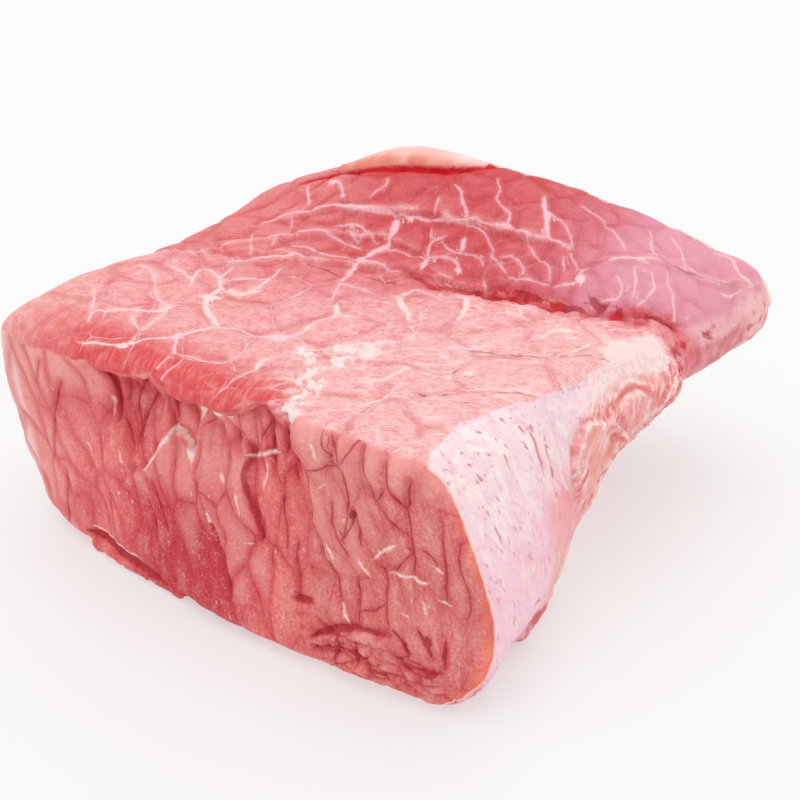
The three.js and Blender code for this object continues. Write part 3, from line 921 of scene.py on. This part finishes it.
def note_surface(block):
    """Stores what the materials read: the cells' reaches, the lines, the zones and the tints."""
    mesh = block.data
    spots = kept(mesh, "spot")
    facing = kept(mesh, "facing")
    facing /= np.linalg.norm(facing, axis=1)[:, None]
    x, y, z = spots.T
    plan = spots[:, :2]
    skin, fat, behind_gap = read_zones(spots, facing)
    for name, reach in (
        ("bundle", reach_by_mark(bundle_spot(spots), BUNDLE_SEEDS, BUNDLE_MARKS)),
        ("cell", reach_by_mark(plan_spot(spots), TOP_SEEDS, TOP_MARKS)),
    ):
        keep(mesh, name + "_near", reach[:, :3])
        keep(mesh, name + "_far", reach[:, 3:])
    past_seam = past_line(plan, SEAM)
    pale = lines_near(spots, facing, PALE_LINES)
    keep(mesh, "pale", pale)
    dark = lines_near(spots, facing, DARK_LINES)
    dark[:, 2] *= 1 + 0.5 * ramp(-facing[:, 1], 0.35, 0.7)
    keep(mesh, "dark", dark)
    keep(mesh, "skin", skin)
    keep(mesh, "fat", fat)
    keep(mesh, "lens", from_lens(spots))
    breadth = 32 - 28 * ramp(x, -10, 44)
    keep(mesh, "rear", ramp(past_seam + 3 * swell(spots, 9, 72), -breadth, 0.7 * breadth))
    crest = crest_of(plan + 1.6 * bends(spots, 7, 83), LEDGES["top"])
    keep(mesh, "crest", crest * np.clip(0.4 + 1.3 * swell(spots, 5, 36), 0, 1) * (z > 60))
    keep(mesh, "drape", draped_edges(spots) * ramp(x, 60, 70)[:, None])
    keep(mesh, "height", np.einsum("ij,ij->i", places(mesh) - spots, facing))
    keep(mesh, "below_lip", np.where((x < 26) & (y < 24), lip_edge_over(spots) - z, 5.0))
    right_outline = 80 + 19 * np.sin(math.pi * np.clip((z / LEVEL_TOP + 0.22) / 1.2, 0, 1))
    keep(mesh, "rim", np.minimum(np.where(x > 26, LEVEL_TOP - z, 99.0), right_outline - x))
    gap = ridge(np.minimum(behind_gap + 0.6, 0), 2.2) * (1 - ramp(behind_gap, 0.8, 1.6))
    gap = gap * band(x, -64, 4, 6) * (z > 70)
    _, away, _, _ = off_line(plan, SEAM, WHOLE_REACH)
    seam = ridge(away + 1.2 * swell(spots, 4, 56), 2.6) * ramp(x, -10, 46) * (z > 55)
    red = gap + (0.9 - 0.5 * ramp(x, 74, 88)) * seam * np.clip(0.5 + 1.2 * swell(spots, 5, 71), 0, 1)
    for *place, radius in RED_BITS:
        away = np.linalg.norm((spots - place) * [1, 0.6, 1.2], axis=1) + 4.4 * crumple(spots, 3.2, 73)
        red = np.maximum(red, 0.85 - ramp(away, 0.4 * radius, radius + 1.6))
    keep(mesh, "raw_red", np.clip(red, 0, 1))


note_surface(joint)
joint.data.shade_smooth()

# ---- materials -----------------------------------------------------------------------------------------


class Number:
    """A number that changes over a surface. Sums on it add Math nodes."""

    def __init__(self, paint, socket):
        self.paint = paint
        self.socket = socket

    def __add__(self, other):
        return self.paint.sum("ADD", self, other)

    def __sub__(self, other):
        return self.paint.sum("SUBTRACT", self, other)

    def __rsub__(self, other):
        return self.paint.sum("SUBTRACT", other, self)

    def __mul__(self, other):
        return self.paint.sum("MULTIPLY", self, other)

    __radd__ = __add__
    __rmul__ = __mul__

    def ramp(self, low, high):
        """0 at low, 1 at high, smooth between."""
        return self.paint.node(
            "ShaderNodeMapRange", "Result", {"interpolation_type": "SMOOTHSTEP"},
            {"Value": self, "From Min": low, "From Max": high},
        )

    def size(self):
        return self.paint.sum("ABSOLUTE", self, 0.0)

    def least(self, other):
        return self.paint.sum("MINIMUM", self, other)

    def most(self, other):
        return self.paint.sum("MAXIMUM", self, other)


class Paint:
    """One material and the nodes that make it."""

    def __init__(self, name):
        self.material = bpy.data.materials.new(name)
        self.material.use_nodes = True
        self.tree = self.material.node_tree
        self.shader = self.tree.nodes["Principled BSDF"]

    def node(self, kind, output, settings, inputs):
        """Adds one node, sets it, fills or links its sockets, and gives back one output."""
        node = self.tree.nodes.new(kind)
        for key, value in settings.items():
            setattr(node, key, value)
        self.fill(node, inputs)
        return Number(self, node.outputs[output])

    def fill(self, node, inputs):
        for key, value in inputs.items():
            socket = node.inputs[key]
            if isinstance(value, Number):
                self.tree.links.new(value.socket, socket)
            else:
                socket.default_value = value

    def sum(self, operation, one, other):
        return self.node("ShaderNodeMath", 0, {"operation": operation}, {0: one, 1: other})

    def kept(self, name, output="Fac"):
        return self.node("ShaderNodeAttribute", output, {"attribute_name": name}, {})

    def parts(self, vector):
        split = self.node("ShaderNodeSeparateXYZ", 0, {}, {0: vector}).socket.node
        return [Number(self, split.outputs[axis]) for axis in range(3)]

    def stretched(self, vector, scale, turn):
        """The vector turned and then drawn out, by more along the axes with a smaller scale."""
        turned = [math.radians(angle) for angle in turn]
        length = [1 / share for share in scale]
        sockets = {"Vector": vector, "Scale": length, "Rotation": turned}
        return self.node("ShaderNodeMapping", 0, {"vector_type": "TEXTURE"}, sockets)

    def noise(self, vector, size, detail, rough=0.5, twist=0.0):
        return self.node(
            "ShaderNodeTexNoise", "Fac", {},
            {"Vector": vector, "Scale": 1 / size, "Detail": detail, "Roughness": rough, "Distortion": twist},
        )

    def crease(self, vector, size, detail):
        """Rounded folds with sharp valleys, 0 in the valleys."""
        return ((self.noise(vector, size, detail) - 0.5) * 2.0).size()

    def blend(self, share, one, other):
        """Mixes two colours."""
        sockets = {0: share, 6: one, 7: other}
        return self.node("ShaderNodeMix", 2, {"data_type": "RGBA", "clamp_factor": True}, sockets)

    def coats(self, base, *coats):
        """Lays colours over a base in turn, each with its share."""
        for share, coat in coats:
            base = self.blend(share, base, coat)
        return base


def colour(red, green, blue):
    """A colour given as it looks on a screen, 0 to 255."""
    return tuple(((c / 255 + 0.055) / 1.055) ** 2.4 for c in (red, green, blue)) + (1.0,)


def border_of(paint, name):
    """Distance from the border of the kept cells, in millimetres."""
    reach = [part for end in ("_near", "_far") for part in paint.parts(paint.kept(name + end, "Vector"))]
    nearest, second = reach[0].least(reach[1]), reach[0].most(reach[1])
    for other in reach[2:]:
        second = second.least(nearest.most(other))
        nearest = nearest.least(other)
    return (second - nearest) * 0.5


def halo_of(paint, name, reach):
    """1 at the kept lines, fading over reach beside them."""
    _, away, half = paint.parts(paint.kept(name, "Vector"))
    return (1 - (away - half).ramp(0.0, reach)) * half.ramp(0.02, 0.1)


def line_of(paint, name, wobble, soft):
    """1 on the kept lines, 0 off them."""
    side, away, half = paint.parts(paint.kept(name, "Vector"))
    across = side.size() + wobble - half
    near = away - half
    return (1 - across.ramp(soft * -1.0, soft)) * (1 - near.ramp(0.9, 1.5)) * half.ramp(0.02, 0.1)


LEAN_CUT = colour(236, 126, 122)
LEAN_CUT_DULL = colour(224, 134, 126)
# Redder streaks of the cut, also laid as painted shade in its hollows and valleys
CUT_RED_AND_SHADE = colour(208, 60, 72)
# Pale streaks of the cut, also laid as a painted sheen on its bulges and left part and as painted light
# under the lip
CUT_PALE_AND_LIGHT = colour(246, 176, 168)
# Pale specks painted as small wet glints
GLINT_PALE = colour(252, 200, 196)
CUT_FAT = colour(255, 232, 224)
LEAN_TOP = colour(241, 167, 165)
# Pale tissue of the top, also laid to the right as a painted sheen
LEAN_PALE_AND_SHEEN = colour(248, 196, 195)
TOP_PALE = colour(251, 220, 219)
LEAN_REAR = colour(204, 78, 83)
LEAN_REAR_LEFT = colour(224, 121, 119)
TOP_ROSE = colour(236, 140, 150)
# Pale grain of the rear, also a painted highlight on its raised bumps
REAR_PALE_AND_SHEEN = colour(240, 156, 160)
LEAN_TAIL = colour(227, 156, 175)
TAIL_RED = colour(216, 126, 132)
TAIL_PINK = colour(234, 176, 184)
LIP_RED = colour(217, 62, 62)
CRACK_RED = colour(178, 34, 48)
# Deep red of the cut's dark patch and cracks, also painted shade in deep hollows
DEEP_RED_AND_SHADE = colour(184, 30, 46)
BLOOD = colour(206, 18, 36)
RIM_ORANGE = colour(250, 130, 104)
# Darker red of the top's grain, also laid as painted shade in hollows, under the fold and along cell borders
GRAIN_DARK_AND_SHADE = colour(204, 62, 66)
MARBLE = colour(254, 222, 218)
MEMBRANE = colour(250, 206, 215)
CREAM = colour(254, 220, 214)
CREAM_WHITE = colour(255, 236, 232)
ROSY_CREAM = colour(252, 204, 200)
ROSY_FAT = colour(244, 166, 164)
FLAP_ROSE = colour(240, 168, 152)
CAP_ROSE = colour(250, 206, 188)
# Painted shade in the fat cap's hollows
CAP_SHADE = colour(238, 158, 146)
CAP_LEAN = colour(224, 112, 110)
FLAP_ORANGE = colour(234, 138, 114)
FLAP_RED = colour(214, 78, 82)
# Darker strands of the flank's fat, also painted shade in its hollows
FAT_DARK_AND_SHADE = colour(222, 108, 100)
SILVER = colour(250, 217, 222)
SILVER_ROSE = colour(251, 202, 217)
SKIN_SHADE = colour(226, 168, 182)
SKIN_PINK = colour(244, 158, 160)
SKIN_RED = colour(214, 96, 104)
CREASE_RED = colour(226, 84, 86)
LILAC = colour(226, 190, 216)


def read_fields(paint):
    """What the mesh keeps about its surface, and the noises that several layers share."""
    spot = paint.kept("spot", "Vector")
    facing = paint.parts(paint.kept("facing", "Vector"))
    x, y, z = paint.parts(spot)
    wobble = (paint.noise(spot, 2.0, 2.0) - 0.5) * 0.8
    in_front = (facing[1] * -1.0).ramp(0.40, 0.70)
    cut = in_front * (1 - y.ramp(26, 34)) * paint.kept("below_lip").ramp(-0.6, 0.4)
    rear = paint.kept("rear")
    return SimpleNamespace(
        spot=spot, x=x, y=y, z=z, back=facing[1].ramp(0.05, 0.5), facing_z=facing[2],
        streak=paint.noise(paint.stretched(spot, (1.0, 1.0, 0.25), (-40, 0, 0)), 2.4, 2.0).ramp(0.4, 0.65),
        cut=cut,
        uncut=1 - cut,
        rear=rear,
        level=(1 - rear) * (1 - cut),
        lip=(1 - y.ramp(7, 25)) * (1 - x.ramp(17, 24)) * x.ramp(-92, -50) * 0.9,
        height=paint.kept("height"),
        fine=paint.noise(spot, 0.9, 3.0, 0.65),
        mottle=paint.noise(spot, 4.2, 3.0, 0.55),
        broad=paint.noise(spot, 24.0, 2.0),
        patchy=paint.noise(spot, 11.0, 1.0),
        wobble=wobble,
        wrinkle=paint.crease(paint.stretched(spot, (0.40, 1.0, 1.0), (0, 0, 24)), 1.15, 3.0),
        fibre=paint.noise(paint.stretched(spot, (1.0, 1.0, 0.22), (0, -17, 0)), 1.2, 3.0, 0.6),
        pale_line=line_of(paint, "pale", wobble * (0.9 + cut * 0.6), rear * 0.25 + cut * 0.2 + 0.36),
        halo=halo_of(paint, "pale", 2.0),
        dark_line=line_of(paint, "dark", wobble * 0.25, 0.26),
        raw_red=paint.kept("raw_red"),
    )


def top_ground(paint, on):
    """The muscle's outside: paler to the right, as pale tissue and a painted sheen, redder behind the seam
    and on the lip, lilac on the tail.
    """
    rear = paint.blend(on.x.ramp(-60, -14), LEAN_REAR_LEFT, LEAN_REAR)
    tail = on.y.ramp(98, 108) * on.x.ramp(60, 70)
    turned = on.facing_z + on.wobble * 0.12
    tail_side = paint.blend(on.mottle.ramp(0.38, 0.62) * 0.5 + on.streak * 0.2, TAIL_RED, TAIL_PINK)
    tail_rim = (1 - (turned - 0.36).size().ramp(0.04, 0.18)) * tail * (0.25 + on.fine.ramp(0.35, 0.6) * 0.5)
    tail_edge = (1 - on.facing_z.ramp(0.35, 0.85)) * on.x.ramp(76, 90) * on.y.ramp(146, 156)
    rosy = (on.x.ramp(64, 80) * on.y.ramp(92, 102)).most(on.y.ramp(40, 84) * (1 - on.x.ramp(20, 60)) * 0.5)
    across = paint.noise(paint.stretched(on.spot, (1.0, 0.18, 0.18), (0, 0, 12)), 1.1, 2.0)
    return paint.coats(
        LEAN_TOP,
        # paler to the right: pale tissue and a painted sheen
        (on.x.ramp(-40, 60) * (0.30 + on.broad * 0.8), LEAN_PALE_AND_SHEEN),
        (on.rear, rear),
        ((on.x.ramp(40, 74) * 0.8 + on.x.ramp(16, 44) * 0.2) * on.rear, LEAN_TAIL),
        (turned.ramp(0.36, 0.20) * tail, tail_side),
        (tail_rim, ROSY_CREAM),
        (tail_edge * on.mottle.ramp(0.35, 0.55) * 0.8, ROSY_CREAM),
        (rosy * (1 - on.rear) * 0.8, TOP_ROSE),
        (on.lip, LIP_RED),
        (on.lip * across.ramp(0.44, 0.72) * 0.36, LEAN_TOP),
        (on.lip * across.ramp(0.50, 0.28) * 0.28, CUT_RED_AND_SHADE),
    )


def top_lean(paint, on):
    """Fine wrinkles along the muscle's outside and membranes between its cells, with painted shade in the
    hollows, under the fold and along the cells' borders, a painted highlight on the rear's bumps and pale
    specks as painted glints.
    """
    # Pale grain, and pale specks painted as small wet glints
    grain_and_glint_pale = paint.blend(on.rear, TOP_PALE, REAR_PALE_AND_SHEEN)
    calm = 1 - (on.lip * 0.6).most(on.x.ramp(44, 72) * on.rear * 0.65)
    # Painted shadow that the fold casts on the slope below it
    fold_shadow = on.y.ramp(108, 124) * on.x.ramp(-44, -20) * (1 - on.x.ramp(20, 45))
    crest = paint.kept("crest") * (0.35 + on.fine.ramp(0.35, 0.6) * 0.65)
    lens = (paint.kept("lens") + on.wobble * 0.6).ramp(0.52, 0.0)
    border = border_of(paint, "cell") + on.wobble * 0.5
    # Painted shade along the cells' borders, so that the cells look puffed
    border_shade = (1 - border.ramp(0.2, 2.4)) * (0.38 - on.patchy.ramp(0.4, 0.65) * 0.24)
    half = on.patchy.ramp(0.5, 0.75) * 0.28
    marbled = 1 - (border - half).ramp(-0.20, on.rear * 0.5 + 0.36)
    marbled = marbled * (1 - on.rear * 0.75) * (0.30 + on.patchy.ramp(0.35, 0.65) * 0.4)
    return paint.coats(
        top_ground(paint, on),
        (on.mottle.ramp(0.46, 0.74) * calm * 0.30, grain_and_glint_pale),
        # painted highlight: paler on the rear's raised bumps
        (on.height.ramp(0.2, 2.0) * on.rear * 0.36, REAR_PALE_AND_SHEEN),
        # painted shade: darker red where the relief sinks
        (on.height.ramp(0.1, -1.3) * calm * 0.50, GRAIN_DARK_AND_SHADE),
        (on.mottle.ramp(0.5, 0.3) * calm * 0.20, GRAIN_DARK_AND_SHADE),
        (on.wrinkle.ramp(0.30, 0.8) * calm * 0.22, grain_and_glint_pale),
        (on.wrinkle.ramp(0.14, 0.0) * calm * 0.34, GRAIN_DARK_AND_SHADE),
        # pale specks: painted glints of the wet surface
        (on.fine.ramp(0.54, 0.70) * (1 - on.lip) * 0.32, grain_and_glint_pale),
        # painted shadow below the fold
        (fold_shadow * on.rear * 0.26, GRAIN_DARK_AND_SHADE),
        (crest * 0.65, MARBLE),
        (on.halo * calm * 0.24, grain_and_glint_pale),
        (lens * on.level * on.x.ramp(-20, 30) * (0.16 + on.patchy.ramp(0.4, 0.6) * 0.50), TOP_PALE),
        # painted shade along the cell borders
        (border_shade * calm, GRAIN_DARK_AND_SHADE),
        (marbled * on.facing_z.ramp(0.45, 0.7), MEMBRANE),
    )


def cut_lean(paint, on):
    """The cut across the grain: streaks, cracks between the bundles and small flecks of fat, with painted
    shade in its hollows and valleys, a painted sheen on its bulges and left part, pale specks as painted
    glints and painted light under the lip.
    """
    deep = (on.x + 8).size().ramp(38, 10) * on.z.ramp(52, 22)
    left_side = on.x * -1.0
    from_rim = paint.kept("rim") + on.wobble * 2.0
    from_left_edge = left_side + on.z * -0.16 + on.wobble * 2.0
    border = border_of(paint, "bundle") + on.wobble * 0.5
    cracked = 0.25 + on.x.ramp(-60, -10) * 0.35 - on.x.ramp(20, 44) * 0.30
    traced = paint.parts(paint.kept("dark", "Vector"))[1]
    fleck = paint.noise(paint.stretched(on.spot, (1.0, 1.0, 0.3), (0, -17, 0)), 0.9, 1.0)
    return paint.coats(
        LEAN_CUT,
        (on.x.ramp(24, 44), LEAN_CUT_DULL),
        ((deep * 0.9).most(on.patchy.ramp(0.5, 0.7) * 0.35), CUT_RED_AND_SHADE),
        (on.fibre.ramp(0.5, 0.72) * 0.42, CUT_PALE_AND_LIGHT),
        (on.fibre.ramp(0.5, 0.28) * 0.36, CUT_RED_AND_SHADE),
        (on.mottle.ramp(0.5, 0.75) * 0.25, CUT_PALE_AND_LIGHT),
        (on.fine.ramp(0.5, 0.34) * 0.34, CUT_RED_AND_SHADE),
        (deep * 0.60, DEEP_RED_AND_SHADE),
        # painted sheen: paler towards the left
        (left_side.ramp(44, 84) * 0.5, CUT_PALE_AND_LIGHT),
        # painted light: lighter just under the lip, where its shade falls
        (on.z.ramp(46, 60) * (1 - on.x.ramp(16, 30)) * 0.34, CUT_PALE_AND_LIGHT),
        ((1 - from_rim.ramp(1.5, 7.0)) * 0.78, paint.blend(on.z.ramp(58, 72), RIM_ORANGE, ROSY_FAT)),
        (from_left_edge.ramp(76, 79) * 0.7, CREAM),
        # painted shade: redder in the valleys beside the traced cracks
        ((1 - traced.ramp(0.3, 2.4)) * 0.45, CUT_RED_AND_SHADE),
        # painted sheen: paler on the raised bulges
        (on.height.ramp(0.2, 1.8) * 0.45, CUT_PALE_AND_LIGHT),
        # pale specks: painted glints of the wet surface
        (on.fine.ramp(0.50, 0.72) * 0.34, GLINT_PALE),
        # painted shade: redder where the relief sinks
        (on.height.ramp(0.0, -1.6) * 0.5, CUT_RED_AND_SHADE),
        # painted shade: redder in the valleys along the bundles' borders
        ((1 - border.ramp(0.2, 2.4)) * (0.45 - on.x.ramp(20, 44) * 0.20), CUT_RED_AND_SHADE),
        ((1 - border.ramp(0.0, 0.34)) * on.patchy.ramp(0.3, 0.55) * cracked, DEEP_RED_AND_SHADE),
        (fleck.ramp(0.70, 0.78) * on.patchy.ramp(0.40, 0.6) * 0.6, CREAM),
    )


def silverskin(paint, on, lengthwise, dashes):
    """The milky membrane on the right flank, rosier towards its foot, with creases and small red dashes, and
    pinker in its hollows as painted shade.
    """
    cream = paint.noise(lengthwise, 3.4, 4.0, 0.65, 0.6)
    low_right = on.y.ramp(30, 46) * (1 - on.z.ramp(42, 56))
    return paint.coats(
        SILVER,
        ((on.z * -1.0).ramp(-66, -40) * 0.9, SILVER_ROSE),
        (cream.ramp(0.48, 0.64) * (0.34 + on.z.ramp(40, 66) * 0.46), CREAM_WHITE),
        (cream.ramp(0.46, 0.30) * (0.26 + on.z.ramp(40, 66) * 0.24), SKIN_SHADE),
        (low_right * (0.68 + on.streak * 0.3), SKIN_PINK),
        (dashes * (0.3 + on.z.ramp(50, 64) * 0.35), SKIN_RED),
        # painted shade: pinker where the relief sinks
        (on.height.ramp(0.0, -0.8) * 0.4, SKIN_PINK),
        (on.y.ramp(40, 56) * on.z.ramp(60, 66) * on.mottle.ramp(0.40, 0.62) * 0.4, LILAC),
        ((1 - on.z.ramp(2, 20)) * on.mottle.ramp(0.36, 0.58), SKIN_RED),
        (on.dark_line * 0.7, CREASE_RED),
        (on.pale_line * 0.8, CREAM),
    )


def fat_layer(paint, on):
    """Soft fat: cream on the crests, rosier between them, and red where it thins out under the tail, with a
    painted highlight on the raised lobes and painted shade in the hollows.
    """
    corner = on.z.ramp(64, 68) * on.x.ramp(76, 84)
    right = on.x.ramp(60, 70)
    on_top = on.facing_z.ramp(0.3, 0.6) * (1 - on.y.ramp(100, 110))
    cap = (1 - on.x.ramp(60, 76) * (1 - on.back)) * (1 - on_top)
    flecked = on.mottle.ramp(0.40, 0.66) * (0.55 - cap * 0.4) + 0.45 - cap * 0.3
    thinner = (paint.kept("fat") * -0.07 + on.patchy + on.mottle * 0.5).ramp(0.66, 0.92)
    flap = on.y.ramp(112, 120) * (1 - on.y.ramp(134, 146)) * on.z.ramp(74, 80) * (1 - on.x.ramp(10, 30))
    thin = on.y.ramp(90, 106) * (1 - on.z.ramp(58, 66)) * right * (1 - on.back * 0.85)
    strand = on.streak.ramp(0.3, 0.8) * right * (1 - on.z.ramp(68, 76)) * (1 - corner * 0.6)
    hairs = paint.noise(paint.stretched(on.spot, (1.0, 1.0, 0.22), (-34, 0, 0)), 1.3, 3.0, 0.6, 0.4)
    ragged = on.x.ramp(64, 76) * (1 - on.z.ramp(66, 74) * 0.6) * (1 - on.back * 0.85)
    pale, rosy, slit = paint.parts(paint.kept("drape", "Vector"))
    crumbs = (1 - on.y.ramp(50, 70)) * on.facing_z.ramp(0.3, 0.6) * on.x.ramp(-40, -20) * 0.95
    whitest = pale.most(on.pale_line).most(crumbs).most(corner * 0.5)
    return paint.coats(
        CREAM,
        (flecked * (1 - corner * 0.8), ROSY_FAT),
        (cap * on.broad.ramp(0.35, 0.7) * 0.6, CAP_ROSE),
        (cap * (1 - on.wrinkle.ramp(0.0, 0.3)) * 0.25, ROSY_FAT),
        # painted highlight and painted shade: the cap lighter on its lobes, rosier in its hollows
        (cap * on.height.ramp(0.0, 1.2) * 0.55, CREAM_WHITE),
        (cap * on.height.ramp(-0.2, -1.6) * 0.55, CAP_SHADE),
        (cap * thinner * 0.8, CAP_LEAN),
        (flap * (0.45 + on.patchy.ramp(0.4, 0.6) * 0.5), FLAP_ORANGE),
        # painted shade: rosier and then darker where the relief sinks
        (on.height.ramp(0.6, -1.2) * 0.6, ROSY_FAT),
        (on.height.ramp(-0.4, -2.0) * 0.6, FAT_DARK_AND_SHADE),
        (thin * on.mottle.ramp(0.3, 0.6) * 0.85, SKIN_RED),
        (on.fibre.ramp(0.5, 0.3) * 0.35 * right, ROSY_FAT),
        (strand * (1 - on.back) * 0.42, FAT_DARK_AND_SHADE),
        (hairs.ramp(0.50, 0.64) * ragged * 0.80, CREAM_WHITE),
        (hairs.ramp(0.46, 0.35) * ragged * 0.45, SKIN_RED),
        (rosy * (0.55 + hairs.ramp(0.4, 0.6) * 0.3), FLAP_ROSE),
        (slit * 0.8, FLAP_RED),
        (whitest * 0.85, CREAM_WHITE),
        (on.dark_line * 0.75, BLOOD),
    )


# How deep light goes into the meat, and how much of that its red, green and blue do
SCATTER_DEPTH = 4 * MM
SCATTER_SHARES = (1.0, 0.28, 0.22)


def make_raw_beef():
    """Lean, silverskin and fat, each where the mesh says, with light scattered under the surface."""
    paint = Paint("raw_beef")
    on = read_fields(paint)
    rosy_lines = on.rear.most(on.broad.ramp(0.45, 0.6)) * (1 - on.x.ramp(50, 66))
    line_colour = paint.coats(MARBLE, (rosy_lines, MEMBRANE), (on.cut, CUT_FAT))
    thin = 1 - paint.parts(paint.kept("pale", "Vector"))[2].ramp(0.2, 1.1)
    broken = on.fine.ramp(0.30, 0.52) * 0.4 + 0.52 - on.rear * thin * 0.15
    broken = broken.most(on.cut * (0.55 + on.fine.ramp(0.3, 0.6) * 0.45))
    lean = paint.coats(
        paint.blend(on.cut, top_lean(paint, on), cut_lean(paint, on)),
        # painted shade: deep red where the relief sinks far
        (on.height.ramp(-0.9, -2.8) * 0.6, DEEP_RED_AND_SHADE),
        (on.dark_line * (0.50 + on.cut * 0.20), CRACK_RED),
        (on.raw_red, BLOOD),
        (on.pale_line * broken, line_colour),
    )
    lengthwise = paint.stretched(on.spot, (1.0, 1.0, 0.30), (17, 0, 0))
    dashes = paint.noise(lengthwise, 1.5, 1.0).ramp(0.64, 0.72) * on.patchy.ramp(0.35, 0.55)
    into_skin = paint.kept("skin") + on.wobble * 0.5
    skin = into_skin.ramp(-0.3, 0.3) * on.uncut.most(on.x.ramp(60, 70)) * (1 - on.raw_red)
    skin_line = (1 - (into_skin + 0.1).size().ramp(0.2, 1.0)) * on.x.ramp(60, 70) * (1 - on.y.ramp(6, 12))
    holes = paint.noise(on.spot, 2.8, 2.0).ramp(0.50, 0.60) * (1 - on.x.ramp(50, 60))
    holes = holes * (1 - on.rear) * on.facing_z.ramp(0.3, 0.6) * 0.8
    soft = (on.level * on.facing_z.ramp(0.3, 0.6)).most(on.x.ramp(58, 66)) * 1.2 + 0.4
    fat = (paint.kept("fat") + on.wobble + (on.fine - 0.5) * 3.0).ramp(soft * -1.0, soft)
    surface = paint.coats(
        lean,
        (skin, silverskin(paint, on, lengthwise, dashes)),
        (skin_line * 0.75, CREAM),
        (fat * (1 - on.raw_red.most(holes)), fat_layer(paint, on)),
    )

    smooth = (on.lip * 0.6).most(skin * 0.5)
    bump = on.wrinkle * 0.22 * on.uncut + on.fine * (0.16 + on.cut * 0.16) + on.mottle * 0.08
    bump = bump * (1 - smooth * 0.75) - on.dark_line * 0.30
    bump = bump + (paint.crease(lengthwise, 2.2, 2.0) * 0.5 - dashes * 0.3) * skin
    normal = paint.node("ShaderNodeBump", "Normal", {}, {"Strength": 1.0, "Distance": MM, "Height": bump})
    paint.fill(paint.shader, {
        "Base Color": surface,
        "Roughness": 0.42 + on.mottle * 0.16,
        "Normal": normal,
        "Coat Weight": 0.02 + on.fine * 0.06 + on.lip * 0.10,
        "Coat Roughness": 0.18,
        "Specular IOR Level": 0.22,
        "Subsurface Weight": 0.35,
        "Subsurface Scale": SCATTER_DEPTH,
        "Subsurface Radius": SCATTER_SHARES,
        "IOR": 1.4,
    })
    return paint.material


joint.data.materials.clear()
joint.data.materials.append(make_raw_beef())
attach(joint, "root")
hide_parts("beef_joint")

# ---- the table, the light and the camera ---------------------------------------------------------------

# The table glows a little, so that it shows as white as the room
TABLE_SIZE = 8.0
TABLE_GREY = 0.41
TABLE_GLOW = 0.48

table_mesh = bpy.data.meshes.new("table")
with opened(table_mesh) as work:
    bmesh.ops.create_grid(work, x_segments=1, y_segments=1, size=TABLE_SIZE / 2)
table = bpy.data.objects.new("table", table_mesh)
bpy.context.scene.collection.objects.link(table)
table_paint = Paint("white_table")
table_paint.fill(table_paint.shader, {
    "Base Color": (TABLE_GREY, TABLE_GREY, TABLE_GREY, 1),
    "Roughness": 0.6,
    "Emission Color": (1.0, 1.0, 1.0, 1),
    "Emission Strength": TABLE_GLOW,
})
table_mesh.materials.append(table_paint.material)

# The camera's place in millimetres, its turn and tilt in degrees, and its focal length in pixels
CAMERA_PLACE = (241.1, -258.7, 274.4)
CAMERA_TURN = 34.08
CAMERA_TILT = 30.0
LENS_PIXELS = 1386.0
FRAME_PIXELS = 800.0
SENSOR = 36.0

camera_data = bpy.data.cameras.new("camera")
camera_data.sensor_width = SENSOR
camera_data.lens = SENSOR * LENS_PIXELS / FRAME_PIXELS
camera_data.clip_start = 0.01
camera = bpy.data.objects.new("camera", camera_data)
bpy.context.scene.collection.objects.link(camera)
camera.location = (Vector(CAMERA_PLACE) + Vector(CUT_FOOT)) * MM
camera.rotation_euler = (math.radians(90 - CAMERA_TILT), 0, math.radians(CAMERA_TURN))
bpy.context.scene.camera = camera

# One broad window above the table, and a bright room around it
WINDOW_PLACE = Vector((0.0, 0.1, 1.5))
WINDOW_AIM = Vector((0, 0, 0.05))
WINDOW_SIDE = 1.2
WINDOW_POWER = 5.4
ROOM_BRIGHTNESS = 0.92

light_data = bpy.data.lights.new("window_above", "AREA")
light_data.shape = "RECTANGLE"
light_data.size = WINDOW_SIDE
light_data.size_y = WINDOW_SIDE
light_data.energy = WINDOW_POWER
light = bpy.data.objects.new("window_above", light_data)
bpy.context.scene.collection.objects.link(light)
light.location = WINDOW_PLACE
light.rotation_euler = (WINDOW_AIM - WINDOW_PLACE).to_track_quat("-Z", "Y").to_euler()
world = bpy.data.worlds.new("white_room")
bpy.context.scene.world = world
world.use_nodes = True
world.node_tree.nodes["Background"].inputs["Color"].default_value = (1, 1, 1, 1)
world.node_tree.nodes["Background"].inputs["Strength"].default_value = ROOM_BRIGHTNESS
bpy.context.scene.view_settings.view_transform = "Standard"
